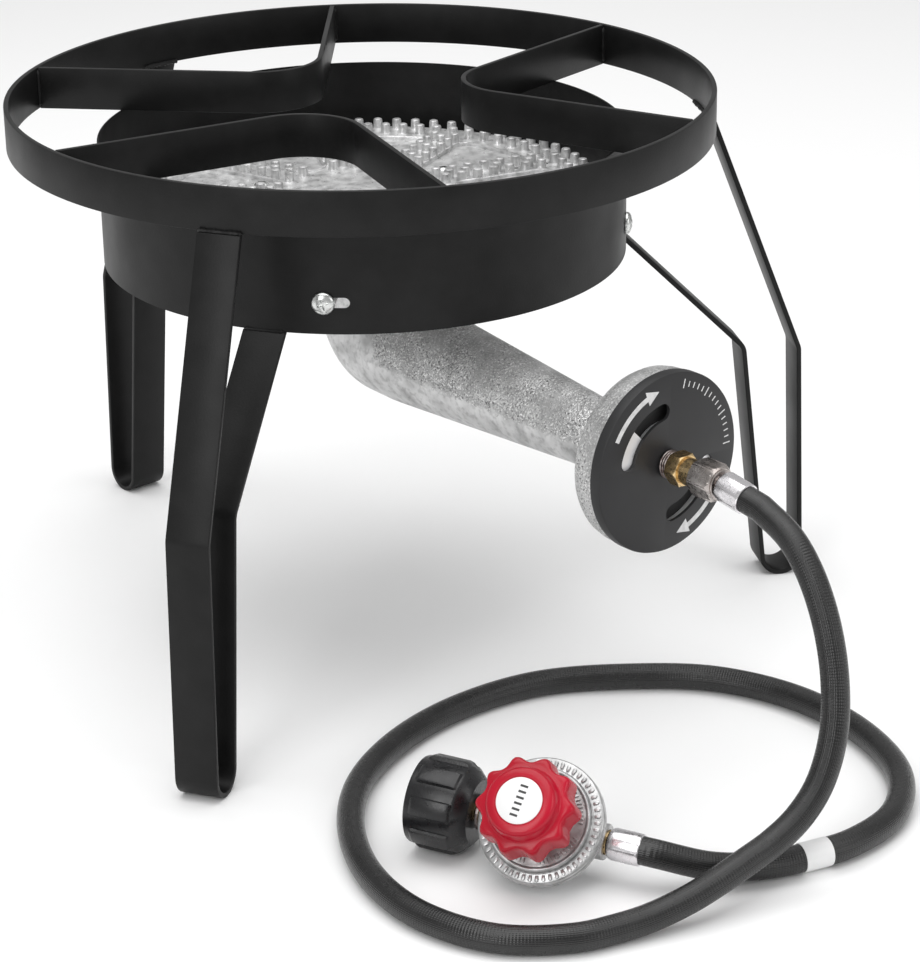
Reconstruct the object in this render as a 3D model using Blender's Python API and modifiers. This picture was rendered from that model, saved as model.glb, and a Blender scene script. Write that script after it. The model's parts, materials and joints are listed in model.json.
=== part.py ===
"""Propane burner stand: welded flat-bar stand, cast burner, air shutter, hose and regulator.

Metres, +Z up, the stand's feet on z = 0 and the venturi pointing to -Y.  The stand and burner hang
on one empty at the pot ring's axis; the regulator hangs on another at the valve's centre.
"""
import math

import bmesh
import bpy
from mathutils import Matrix, Vector

MM = 0.001
GAP = 0.3 * MM                      # clearance left between neighbouring solids

# ---- stand: 25 x 3 flat bar -------------------------------------------------------------------
STRAP_WIDTH = 25 * MM
STRAP_THICK = 3 * MM
STAND_HEIGHT = 330 * MM
RING_RADIUS = 206 * MM              # outside of the pot ring
RING_BOTTOM = STAND_HEIGHT - STRAP_WIDTH
LIMB_AZIMUTHS = {"back": 90.0, "left": -150.0, "right": -30.0}

SUPPORT_APEX = 61 * MM              # ring axis to the bend of a pot support, on the strap's centre
SUPPORT_BEND = 36 * MM
SUPPORT_SPREAD = math.radians(41.5)

LEG_TOP_RADIUS = 206.5 * MM
LEG_KNEE_OUT = (265.3 * MM, 151.6 * MM)
LEG_FOOT_RADIUS = 269.8 * MM        # outer strand above the foot
LEG_KNEE_IN = (230.3 * MM, 154.9 * MM)
LEG_END_IN = 152.5 * MM             # inner strand under the wind guard
FOOT_BEND = 12.1 * MM
KNEE_BEND = 10 * MM
LEG_REACH = LEG_FOOT_RADIUS + STRAP_THICK / 2

# ---- wind guard ---------------------------------------------------------------------------------
GUARD_RADIUS = 154.2 * MM
GUARD_THICK = 1.2 * MM
GUARD_BOTTOM = 233 * MM
GUARD_TOP = RING_BOTTOM - GAP
SCREW_AZIMUTHS = (-135.0, -45.0, 45.0, 135.0)
SCREW_HEIGHT = 251 * MM
SLOT_HALF_HEIGHT = 3.1 * MM
SLOT_HALF_LENGTH = 9.5 * MM
SCREW_SHIFT = math.radians(-2.6)    # the screws stand at one end of their slots

# ---- burner casting and head --------------------------------------------------------------------
HEAD_RADIUS = 140 * MM
HEAD_TOP = 267 * MM
HEAD_THICK = 5 * MM
HEAD_SECTORS = 9
SECTOR_START = math.radians(5)
STUD_HEIGHT = 6 * MM
STUD_RADIUS = 2.9 * MM
RIM_STUDS = 72
RIM_STUD_CIRCLE = 137 * MM
PANEL_DEPTH = 1.5 * MM
HEAD_SCREW_CIRCLE = 64 * MM
HEAD_SCREW_AZIMUTHS = (3.0, 123.0, 243.0)
CASTING_TOP = HEAD_TOP - HEAD_THICK - GAP
CASTING_WALL = 4 * MM
BOWL_FLOOR = 236 * MM

TUBE_RADIUS_AT_AXIS = 34 * MM       # the venturi tapers from here towards its mouth
TUBE_TAPER = 0.0735
TUBE_Z_AT_AXIS = 180.7 * MM
TUBE_DROP = 0.0385
ELBOW_PIVOT = (-43 * MM, 210.5 * MM)   # y, z of the sharp inside corner of the elbow
NECK_BACK = 29.5 * MM               # the neck under the bowl reaches from the pivot to this y
NECK_HALF_WIDTH = 29.5 * MM
ELBOW_OUTER_BEND = 50 * MM
FLANGE_RADIUS = 50.5 * MM
FLANGE_FRONT = 250.8 * MM           # distance of each face along -Y from the ring's axis
WEB_THICK = 5 * MM

# ---- air shutter and gas fittings, all on the axis y = -s, z = MOUTH_Z ----------------------------
MOUTH_Z = 171.8 * MM
SHUTTER_RADIUS = 51.2 * MM
SHUTTER_BACK = FLANGE_FRONT + GAP
SHUTTER_FRONT = 257.6 * MM
SHUTTER_SHEET = 2.0 * MM            # the shutter is a shallow cup over the flange's raised face
SHUTTER_RIM = 2.3 * MM
FACE_FRONT = SHUTTER_FRONT - SHUTTER_SHEET - GAP
FACE_RADIUS = 48.2 * MM
AIR_SLOT_CIRCLE = 30.5 * MM
AIR_SLOT_HALF_WIDTH = 4.9 * MM
AIR_SLOT_SPAN = math.radians(67)
SHUTTER_SLOT_CENTRE = math.radians(131)
WINDOW_CENTRE = math.radians(98)
WINDOW_SPAN = math.radians(73)
WINDOW_INNER = 22.5 * MM
WINDOW_OUTER = 37.5 * MM
SHANK_RADIUS = 4.7 * MM
SHUTTER_BORE = 6.3 * MM
HEX_BACK = 263.6 * MM
HEX_FRONT = 272.0 * MM
FITTING_FRONT = 289.0 * MM
HEX_FLATS = 17 * MM
NUT_BACK = 281.0 * MM
NUT_FRONT = 297.5 * MM
NUT_FLATS = 19 * MM
FERRULE_FLATS = 16.6 * MM
FERRULE_LENGTH = 18 * MM
FERRULE_MOUTH = 1.5 * MM             # depth to which the hose stands in a ferrule
FERRULE_TILT = math.radians(9)
FERRULE_START = NUT_FRONT + 1.8 * MM    # clear of the nut's face although it leans
HOSE_RADIUS = 7.5 * MM

RING_Y = (FITTING_FRONT - LEG_REACH) / 2      # ring axis, with the origin under the object's middle

# ---- regulator: local x from inlet to outlet, local z up the knob's axis ---------------------------
VALVE_CENTRE = Vector((-138.8 * MM, -314.4 * MM, 23.1 * MM))
OUTLET_HEADING = math.radians(-64.3)
OUTLET_DROP = math.asin(0.037)      # the outlet points slightly down
KNOB_ELEVATION = math.radians(42.1)
RIM_RADIUS = 33.8 * MM
KNOB_RADIUS = 26.8 * MM
KNOB_LOBES = 10
NUT_MOUTH = 73.2 * MM               # the tank nut's open face, from the valve's centre
NUT_RIBS = 8
NUT_RADIUS = 23.4 * MM

# The hose from burner ferrule to regulator ferrule, from the ring's axis, z from the floor.
HOSE_ROUTE_MM = (
    (-2, -351, 158.5), (-5, -369, 144), (-10, -386, 122), (-17, -399, 97), (-27, -408, 74),
    (-40, -411.5, 52), (-55, -411.5, 38.2), (-72, -410, 29.5), (-89, -408.5, 24.5),
    (-106, -406.5, 19.5), (-124, -403.5, 14.5), (-146, -397.5, 9.6), (-163, -392, 8),
    (-184, -384, 7.6), (-213, -359, 7.6), (-227, -318, 7.6), (-222, -272, 7.6),
    (-198, -224, 7.6), (-162, -187, 7.6), (-113, -163, 7.6), (-62, -155, 7.6), (-10, -163, 7.6),
    (36, -192, 7.6), (70, -227, 7.6), (87, -275, 7.6), (84, -328, 7.6), (62, -377, 7.6),
    (26, -405, 7.6), (-14, -411.7, 8.2), (-39, -407, 8.4), (-58, -400.5, 8.2), (-76, -393, 9.8),
    (-93, -384, 13.4),
)
HOSE_STEP = 18 * MM
LABEL_AT = (-36 * MM, -408 * MM, 8 * MM)
LABEL_LENGTH = 16 * MM


# ---- scene, materials and placing ---------------------------------------------------------------
def clear_scene():
    for obj in list(bpy.data.objects):
        bpy.data.objects.remove(obj, do_unlink=True)


def collection(name):
    made = bpy.data.collections.new(name)
    bpy.context.scene.collection.children.link(made)
    return made


def material(name, color, roughness, metallic):
    made = bpy.data.materials.new(name)
    made.use_nodes = True
    shader = made.node_tree.nodes["Principled BSDF"]
    shader.inputs["Base Color"].default_value = (*color, 1.0)
    shader.inputs["Roughness"].default_value = roughness
    shader.inputs["Metallic"].default_value = metallic
    return made


clear_scene()
PARTS = collection("propane_burner_stand")
TOOLS = collection("cutters_and_guides")

POWDER_COAT = material("powder_coat_black", (0.018, 0.018, 0.020), 0.45, 0.0)
SHUTTER_BLACK = material("shutter_black", (0.015, 0.015, 0.016), 0.35, 0.0)
CAST_ALUMINIUM = material("cast_aluminium", (0.55, 0.55, 0.54), 0.45, 1.0)
BRASS = material("brass", (0.62, 0.42, 0.16), 0.30, 1.0)
NICKEL = material("nickel_plate", (0.58, 0.54, 0.50), 0.25, 1.0)
ZINC = material("zinc_plate", (0.62, 0.63, 0.63), 0.30, 1.0)
CRIMPED = material("crimped_aluminium", (0.66, 0.66, 0.68), 0.25, 1.0)
SPRING_STEEL = material("spring_steel", (0.40, 0.38, 0.38), 0.35, 1.0)
HOSE_RUBBER = material("hose_rubber", (0.015, 0.015, 0.015), 0.38, 0.0)
SEAL_RUBBER = material("seal_rubber", (0.02, 0.02, 0.02), 0.6, 0.0)
KNOB_RED = material("knob_red", (0.55, 0.012, 0.03), 0.22, 0.0)
NUT_PLASTIC = material("nut_plastic", (0.02, 0.02, 0.022), 0.42, 0.0)
LABEL_WHITE = material("label_white", (0.85, 0.85, 0.85), 0.45, 0.0)


def frame_empty(name, matrix):
    empty = bpy.data.objects.new(name, None)
    PARTS.objects.link(empty)
    empty.matrix_world = matrix
    return empty


def regulator_matrix():
    """Local x along the outlet, local z up the leaning knob axis."""
    level = Vector((math.cos(OUTLET_HEADING), math.sin(OUTLET_HEADING), 0))
    x_axis = level * math.cos(OUTLET_DROP) - Vector((0, 0, math.sin(OUTLET_DROP)))
    side = Vector((0, 0, 1)).cross(x_axis).normalized()
    up_slope = x_axis.cross(side)
    z_axis = up_slope * math.sin(KNOB_ELEVATION) - side * math.cos(KNOB_ELEVATION)
    y_axis = z_axis.cross(x_axis)
    turn = Matrix((x_axis, y_axis, z_axis)).transposed().to_4x4()
    return Matrix.Translation(VALVE_CENTRE + Vector((0, RING_Y, 0))) @ turn


STAND = frame_empty("stand_axis", Matrix.Translation((0, RING_Y, 0)))
VALVE = frame_empty("valve_centre", regulator_matrix())


def from_mesh(name, mesh, parent, local, paint=None):
    """A piece when it is painted, otherwise a hidden cutter or guide."""
    obj = bpy.data.objects.new(name, mesh)
    (PARTS if paint else TOOLS).objects.link(obj)
    obj.parent = parent
    obj.matrix_local = local
    if paint:
        mesh.materials.clear()
        mesh.materials.append(paint)
    else:
        obj.hide_render = True
        obj.display_type = "WIRE"
    return obj


def evaluated_mesh(obj):
    """The object's mesh with its modifiers or curve settings carried out, in its own space."""
    bpy.context.view_layer.update()
    graph = bpy.context.evaluated_depsgraph_get()
    mesh = bpy.data.meshes.new_from_object(obj.evaluated_get(graph))
    work = bmesh.new()
    work.from_mesh(mesh)
    bmesh.ops.remove_doubles(work, verts=work.verts, dist=1e-6)
    work.to_mesh(mesh)
    work.free()
    return mesh


def settle(obj):
    """Replace an object's modifiers by their result, and shade its round faces smooth."""
    mesh = evaluated_mesh(obj)
    obj.modifiers.clear()
    obj.data = mesh
    mesh.shade_smooth()
    mesh.set_sharp_from_angle(angle=math.radians(35))
    return obj


def combine(obj, other, operation):
    step = obj.modifiers.new(operation.lower(), "BOOLEAN")
    step.object = other
    step.operation = operation
    step.solver = "EXACT"


# ---- shapes ---------------------------------------------------------------------------------------
def lathe(name, profile, steps, parent, local, paint=None, closed=True):
    """Turn (radius, height) points about local z; they run down the outer side, top to bottom."""
    mesh = bpy.data.meshes.new(name)
    count = len(profile)
    edges = [(i, i + 1) for i in range(count - 1)]
    if closed:
        edges.append((count - 1, 0))
    mesh.from_pydata([(r, 0, z) for r, z in profile], edges, [])
    obj = from_mesh(name, mesh, parent, local, paint)
    screw = obj.modifiers.new("turn", "SCREW")
    screw.steps = steps
    screw.render_steps = steps
    screw.use_merge_vertices = True
    screw.merge_threshold = 1e-5
    screw.use_smooth_shade = True
    return settle(obj)


def turned_solid(name, profile, steps, parent, local, paint=None):
    """A turned piece whose profile starts and ends on its axis."""
    return lathe(name, profile, steps, parent, local, paint, closed=False)


def sleeve(name, inner, outer, low, high, steps, parent, local, paint=None):
    profile = ((outer, high), (outer, low), (inner, low), (inner, high))
    return lathe(name, profile, steps, parent, local, paint)


def rod(name, radius, low, high, steps, parent, local, paint=None):
    profile = ((0, high), (radius, high), (radius, low), (0, low))
    return turned_solid(name, profile, steps, parent, local, paint)


def curve_object(name, points, cyclic, flat):
    curve = bpy.data.curves.new(name, "CURVE")
    curve.dimensions = "2D" if flat else "3D"
    spline = curve.splines.new("POLY")
    spline.points.add(len(points) - 1)
    for slot, point in zip(spline.points, points):
        slot.co = (*point, 0, 1) if flat else (*point, 1)
    spline.use_cyclic_u = cyclic
    obj = bpy.data.objects.new(name, curve)
    TOOLS.objects.link(obj)
    return obj


def from_curve(obj, name, parent, local, paint):
    mesh = evaluated_mesh(obj)
    bpy.data.objects.remove(obj, do_unlink=True)
    made = from_mesh(name, mesh, parent, local, paint)
    mesh.shade_smooth()
    mesh.set_sharp_from_angle(angle=math.radians(35))
    return made


def plate(name, outline, low, high, parent, local, paint=None):
    """A flat outline in local x, y between two local heights."""
    obj = curve_object(name, outline, True, True)
    obj.data.fill_mode = "BOTH"
    obj.data.extrude = (high - low) / 2
    lift = Matrix.Translation((0, 0, (high + low) / 2))
    return from_curve(obj, name, parent, local @ lift, paint)


def wire(name, points, radius, parent, local, paint):
    obj = curve_object(name, points, False, False)
    obj.data.bevel_depth = radius
    obj.data.bevel_resolution = 2
    obj.data.use_fill_caps = True
    return from_curve(obj, name, parent, local, paint)


def coil(name, radius, wire_radius, low, high, turns, parent, local, paint):
    """A helical spring about local z between two outside heights."""
    steps = round(turns * 12)
    start = low + wire_radius
    rise = high - low - 2 * wire_radius
    points = []
    for i in range(steps + 1):
        angle = 2 * math.pi * turns * i / steps
        height = start + rise * i / steps
        points.append((radius * math.cos(angle), radius * math.sin(angle), height))
    return wire(name, points, wire_radius, parent, local, paint)


def polar(radius, angle):
    return (radius * math.cos(angle), radius * math.sin(angle))


def arc(centre, radius, start, end, steps):
    """Points along an arc, both ends included."""
    span = end - start
    angles = [start + span * i / steps for i in range(steps + 1)]
    return [(centre[0] + radius * math.cos(a), centre[1] + radius * math.sin(a)) for a in angles]


def hexagon(flats, sides=6):
    reach = flats / 2 / math.cos(math.pi / sides)
    return [polar(reach, 2 * math.pi * i / sides) for i in range(sides)]


def about_z(degrees):
    return Matrix.Rotation(math.radians(degrees), 4, "Z")


def along_mouth():
    """Local z runs out of the venturi along -Y, local x stays +X, and the axis is MOUTH_Z high."""
    return Matrix.Translation((0, 0, MOUTH_Z)) @ Matrix.Rotation(math.radians(90), 4, "X")


UPRIGHT = Matrix.Identity(4)
MOUTH = along_mouth()


# ---- stand ------------------------------------------------------------------------------------------
def pot_ring():
    inner = RING_RADIUS - STRAP_THICK
    sleeve("pot_ring", inner, RING_RADIUS, RING_BOTTOM, STAND_HEIGHT, 96, STAND, UPRIGHT, POWDER_COAT)


def reach_circle(start, direction, radius):
    """Where a line from start along direction leaves a circle about the origin."""
    along = start.dot(direction)
    return start + direction * (-along + math.sqrt(along * along + radius * radius - start.dot(start)))


def support_outline():
    """A bent strap seen from above: apex towards the axis, both arms ending inside the ring."""
    centre = (SUPPORT_APEX + SUPPORT_BEND, 0)
    half_turn = math.pi / 2 - SUPPORT_SPREAD
    end_radius = RING_RADIUS - STRAP_THICK - GAP
    sides = []
    for offset in (STRAP_THICK / 2, -STRAP_THICK / 2):
        bend = arc(centre, SUPPORT_BEND + offset, math.pi - half_turn, math.pi + half_turn, 14)
        upper = Vector(bend[0])
        arm = Vector((math.cos(SUPPORT_SPREAD), math.sin(SUPPORT_SPREAD)))
        tip = reach_circle(upper, arm, end_radius)
        sides.append([tuple(tip)] + bend + [(tip.x, -tip.y)])
    return sides[0] + sides[1][::-1]


def pot_supports():
    outline = support_outline()
    for name, azimuth in LIMB_AZIMUTHS.items():
        turn = about_z(azimuth)
        plate("pot_support_" + name, outline, RING_BOTTOM, STAND_HEIGHT, STAND, turn, POWDER_COAT)


def rounded_path(points, radius, steps):
    """A polyline of 2D points whose inner corners are replaced by arcs of one radius."""
    path = [Vector(points[0])]
    for before, corner, after in zip(points, points[1:], points[2:]):
        corner = Vector(corner)
        back = (Vector(before) - corner).normalized()
        ahead = (Vector(after) - corner).normalized()
        half = back.angle(ahead) / 2
        centre = corner + (back + ahead).normalized() * radius / math.sin(half)
        start = corner + back * radius / math.tan(half) - centre
        sweep = (corner + ahead * radius / math.tan(half) - centre).angle_signed(start)
        for i in range(steps + 1):
            angle = sweep * i / steps
            turned = Matrix.Rotation(angle, 2) @ start
            path.append(centre + turned)
    path.append(Vector(points[-1]))
    return path


def strap_outline(path, cut_low, cut_high):
    """Offset a path both ways by half the strap; its two ends are cut level at given heights."""
    sides = []
    for offset in (STRAP_THICK / 2, -STRAP_THICK / 2):
        side = []
        for i, point in enumerate(path):
            ahead = (path[min(i + 1, len(path) - 1)] - point).normalized() if i + 1 < len(path) else None
            behind = (point - path[i - 1]).normalized() if i else None
            if ahead is None or behind is None:
                run = ahead or behind
                normal = Vector((-run.y, run.x))
                end = point + normal * offset
                level = cut_high if i else cut_low
                side.append(end + run * ((level - end.y) / run.y))
            else:
                run = (ahead + behind).normalized()
                normal = Vector((-run.y, run.x))
                side.append(point + normal * offset / max(0.5, run.dot(ahead)))
        sides.append([tuple(p) for p in side])
    return sides[0] + sides[1][::-1]


def legs():
    """Hairpins of flat bar in a radial plane, local x outwards and local y up."""
    foot_z = FOOT_BEND + STRAP_THICK / 2
    strand = (LEG_TOP_RADIUS, RING_BOTTOM - GAP), LEG_KNEE_OUT, (LEG_FOOT_RADIUS, foot_z)
    outer = rounded_path(strand, KNEE_BEND, 3)
    foot = arc((LEG_FOOT_RADIUS - FOOT_BEND, foot_z), FOOT_BEND, 0, -math.pi, 12)
    inner_foot = (LEG_FOOT_RADIUS - 2 * FOOT_BEND, foot_z)
    inner_end = (LEG_END_IN, GUARD_BOTTOM - GAP)
    inner = rounded_path((inner_foot, LEG_KNEE_IN, inner_end), KNEE_BEND, 3)
    path = outer[:-1] + [Vector(p) for p in foot] + inner[1:]
    outline = strap_outline(path, RING_BOTTOM - GAP, GUARD_BOTTOM - GAP)
    stand_up = Matrix.Rotation(math.radians(90), 4, "X")
    for name, azimuth in LIMB_AZIMUTHS.items():
        turn = about_z(azimuth) @ stand_up
        half = STRAP_WIDTH / 2
        plate("leg_" + name, outline, -half, half, STAND, turn, POWDER_COAT)


def stadium(half_length, half_height, steps=6):
    """A slot's outline with round ends, long in local x."""
    straight = half_length - half_height
    right = arc((straight, 0), half_height, -math.pi / 2, math.pi / 2, steps)
    left = arc((-straight, 0), half_height, math.pi / 2, 3 * math.pi / 2, steps)
    return right + left


def radial_frame(azimuth, height):
    """Local z outwards at an azimuth, local x along the rim, local y up."""
    outward = Vector((*polar(1, azimuth), 0))
    along = Vector((*polar(1, azimuth + math.pi / 2), 0))
    turn = Matrix((along, Vector((0, 0, 1)), outward)).transposed().to_4x4()
    return Matrix.Translation((0, 0, height)) @ turn


def screw_places():
    """Number, slot azimuth and screw azimuth of each wind guard screw."""
    for number, degrees in enumerate(SCREW_AZIMUTHS, 1):
        slot = math.radians(degrees)
        yield number, slot, slot + SCREW_SHIFT


def wind_guard():
    inner = GUARD_RADIUS - GUARD_THICK
    guard = sleeve("wind_guard", inner, GUARD_RADIUS, GUARD_BOTTOM, GUARD_TOP, 84, STAND, UPRIGHT,
                   POWDER_COAT)
    for number, slot, _screw in screw_places():
        outline = stadium(SLOT_HALF_LENGTH, SLOT_HALF_HEIGHT)
        near, far = GUARD_RADIUS - 8 * MM, GUARD_RADIUS + 8 * MM
        frame = radial_frame(slot, SCREW_HEIGHT)
        combine(guard, plate(f"slot_cutter_{number}", outline, near, far, STAND, frame), "DIFFERENCE")
    settle(guard)


def guard_screws():
    """Pan-head screws through the guard's slots into the casting's lugs."""
    seat = GUARD_RADIUS + GAP
    profile = (
        (0, seat + 3.4 * MM), (3.2 * MM, seat + 3.2 * MM), (5.4 * MM, seat + 2.2 * MM),
        (6.5 * MM, seat + 0.8 * MM), (6.5 * MM, seat), (2.0 * MM, seat), (2.0 * MM, seat - 13 * MM),
        (0, seat - 13 * MM),
    )
    for number, _slot, azimuth in screw_places():
        frame = radial_frame(azimuth, SCREW_HEIGHT)
        turned_solid(f"guard_screw_{number}", profile, 16, STAND, frame, ZINC)


# ---- burner -------------------------------------------------------------------------------------------
def tube_radius(reach):
    return TUBE_RADIUS_AT_AXIS - TUBE_TAPER * reach


def tube_height(reach):
    return TUBE_Z_AT_AXIS - TUBE_DROP * reach


def elbow_outer_distance(direction):
    """From the elbow's inside corner to its outer skin along a (y, z) direction."""
    pivot = Vector(ELBOW_PIVOT)
    reach = -ELBOW_PIVOT[0]
    bottom = tube_height(reach) - tube_radius(reach)
    centre = Vector((NECK_BACK - ELBOW_OUTER_BEND, bottom + ELBOW_OUTER_BEND))
    offset = pivot - centre
    along = offset.dot(direction)
    to_arc = -along + math.sqrt(along * along - offset.dot(offset) + ELBOW_OUTER_BEND ** 2)
    hit = pivot + direction * to_arc
    if hit.y > centre.y:
        return (NECK_BACK - pivot.x) / direction.x
    if hit.x < centre.x:
        return (bottom - pivot.y) / direction.y
    return to_arc


def casting_sections(wall, top, web_back):
    """Rings (centre, up-section direction, half height, half width) from neck to flange."""
    rings = []
    pivot = Vector(ELBOW_PIVOT)
    corner = 1.0 * MM
    turns = 8
    for i in range(turns + 1):
        angle = math.pi / 2 * i / turns
        direction = Vector((math.cos(angle), -math.sin(angle)))
        outer = elbow_outer_distance(direction)
        middle = pivot + direction * (outer + corner) / 2
        side = NECK_HALF_WIDTH + (tube_radius(-pivot.x) - NECK_HALF_WIDTH) * i / turns
        half = (outer - corner) / 2 - wall
        rings.append((Vector((0, middle.x, middle.y)), Vector((0, direction.x, direction.y)), half,
                      side - wall))
    first = rings[0]
    rings.insert(0, (Vector((0, first[0].y, top)), first[1], first[2], first[3]))
    down = Vector((0, 0, -1))
    for reach in (75 * MM, 120 * MM, 165 * MM, 208 * MM):
        radius = tube_radius(reach) - wall
        rings.append((Vector((0, -reach, tube_height(reach))), down, radius, radius))
    if web_back is None:
        flare = ((216, 19.5), (222, 24), (226.5, 31), (230, 40), (233.5, 46.5), (238, 50))
        stations = [(s * MM, r * MM) for s, r in flare]
        stations += [(FLANGE_FRONT, FLANGE_RADIUS), (FLANGE_FRONT, FACE_RADIUS), (FACE_FRONT, FACE_RADIUS)]
    else:
        flare = ((218, 16), (227, 24), (234, 36), (238, 44))
        stations = [(s * MM, r * MM) for s, r in flare] + [(web_back, 46 * MM)]
    for reach, radius in stations:
        rings.append((Vector((0, -reach, MOUTH_Z)), down, radius, radius))
    return rings


def loft(name, rings, sides=28):
    """Skin a row of elliptical sections, closed at both ends."""
    mesh = bpy.data.meshes.new(name)
    work = bmesh.new()
    rows = []
    for centre, direction, half_height, half_width in rings:
        row = []
        for i in range(sides):
            angle = 2 * math.pi * i / sides
            offset = direction * half_height * math.cos(angle)
            offset = offset + Vector((half_width * math.sin(angle), 0, 0))
            row.append(work.verts.new(centre + offset))
        rows.append(row)
    for row, following in zip(rows, rows[1:]):
        for i in range(sides):
            j = (i + 1) % sides
            work.faces.new((row[i], row[j], following[j], following[i]))
    work.faces.new(rows[0])
    work.faces.new(rows[-1])
    bmesh.ops.recalc_face_normals(work, faces=work.faces)
    work.to_mesh(mesh)
    work.free()
    return from_mesh(name, mesh, STAND, UPRIGHT)


def arc_slot(centre_angle):
    """A curved slot's outline with round ends, about the shutter's axis."""
    half = AIR_SLOT_SPAN / 2
    low, high = centre_angle - half, centre_angle + half
    width = AIR_SLOT_HALF_WIDTH
    outer = arc((0, 0), AIR_SLOT_CIRCLE + width, low, high, 12)
    end = arc(polar(AIR_SLOT_CIRCLE, high), width, high, high + math.pi, 6)
    inner = arc((0, 0), AIR_SLOT_CIRCLE - width, high, low, 12)
    start = arc(polar(AIR_SLOT_CIRCLE, low), width, low - math.pi, low, 6)
    return outer + end[1:-1] + inner + start[1:-1]


def air_window(centre_angle):
    """A sector-shaped opening's outline in the flange's face, wider than the shutter's slot."""
    low, high = centre_angle - WINDOW_SPAN / 2, centre_angle + WINDOW_SPAN / 2
    outer = arc((0, 0), WINDOW_OUTER, low, high, 12)
    inner = arc((0, 0), WINDOW_INNER, high, low, 12)
    return outer + inner


def bowl_profile(wall):
    """The bowl under the head: shallow, with an upright rim."""
    rim = 139.5 * MM - wall
    skin = ((rim, 255 * MM + wall), (132 * MM - wall, 247 * MM + wall), (112 * MM, 240 * MM + wall),
            (80 * MM, 235 * MM + wall), (40 * MM, BOWL_FLOOR - CASTING_WALL + wall))
    top = CASTING_TOP + (GAP if wall else 0)
    return ((0, top), (rim, top)) + skin + ((0, skin[-1][1]),)


def burner_casting():
    """Bowl, elbow, venturi and mouth flange are one sand casting."""
    casting = turned_solid("burner_casting", bowl_profile(0), 56, STAND, UPRIGHT, CAST_ALUMINIUM)
    neck_top = BOWL_FLOOR - 2 * MM
    combine(casting, loft("venturi_skin", casting_sections(0, neck_top, None)), "UNION")
    for number, _slot, azimuth in screw_places():
        lug = stadium(9 * MM, 7 * MM)
        frame = radial_frame(azimuth, SCREW_HEIGHT)
        outer = GUARD_RADIUS - GUARD_THICK - 0.6 * MM
        combine(casting, plate(f"lug_{number}", lug, 133 * MM, outer, STAND, frame), "UNION")
    bowl_space = turned_solid("bowl_space", bowl_profile(CASTING_WALL), 56, STAND, UPRIGHT)
    combine(casting, bowl_space, "DIFFERENCE")
    web_back = FACE_FRONT - WEB_THICK
    passage = casting_sections(CASTING_WALL, BOWL_FLOOR + 5 * MM, web_back)
    combine(casting, loft("venturi_passage", passage), "DIFFERENCE")
    for number, degrees in enumerate(HEAD_SCREW_AZIMUTHS, 1):
        place = about_z(degrees) @ Matrix.Translation((HEAD_SCREW_CIRCLE, 0, 0))
        boss = rod(f"boss_{number}", 7 * MM, BOWL_FLOOR - 1 * MM, CASTING_TOP, 12, STAND, place)
        combine(casting, boss, "UNION")
        bore = rod(f"boss_bore_{number}", 2.4 * MM, 245 * MM, CASTING_TOP + 2 * MM, 8, STAND, place)
        combine(casting, bore, "DIFFERENCE")
    for number, _slot, azimuth in screw_places():
        frame = radial_frame(azimuth, SCREW_HEIGHT)
        bore = rod(f"lug_bore_{number}", 2.4 * MM, 139.8 * MM, 156 * MM, 8, STAND, frame)
        combine(casting, bore, "DIFFERENCE")
    for number, turn in enumerate((0, math.pi), 1):
        outline = air_window(WINDOW_CENTRE + turn)
        low, high = web_back - 2 * MM, FACE_FRONT + 2 * MM
        combine(casting, plate(f"window_{number}", outline, low, high, STAND, MOUTH), "DIFFERENCE")
    bore = rod("fitting_bore", SHANK_RADIUS + GAP, web_back - 2 * MM, FACE_FRONT + 2 * MM, 16, STAND,
               MOUTH)
    combine(casting, bore, "DIFFERENCE")
    settle(casting)


def panel_outline():
    """A smooth sector between two spokes of studs: a triangle with rounded corners, about +X."""
    half = math.pi / HEAD_SECTORS
    margin = 10 * MM
    nose = 13 * MM
    nose_centre = ((margin + nose) / math.sin(half), 0)
    points = arc(nose_centre, nose, math.pi / 2 + half, 3 * math.pi / 2 - half, 6)
    rim = 115 * MM
    corner = 6 * MM
    edge = math.asin((margin + corner) / (rim - corner))
    low = half - edge
    lower = arc(polar(rim - corner, -low), corner, -math.pi / 2 - half, -low, 3)
    outer = [polar(rim, low * t) for t in (-0.5, 0, 0.5)]
    upper = arc(polar(rim - corner, low), corner, low, math.pi / 2 + half, 3)
    return points + lower + outer + upper


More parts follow.
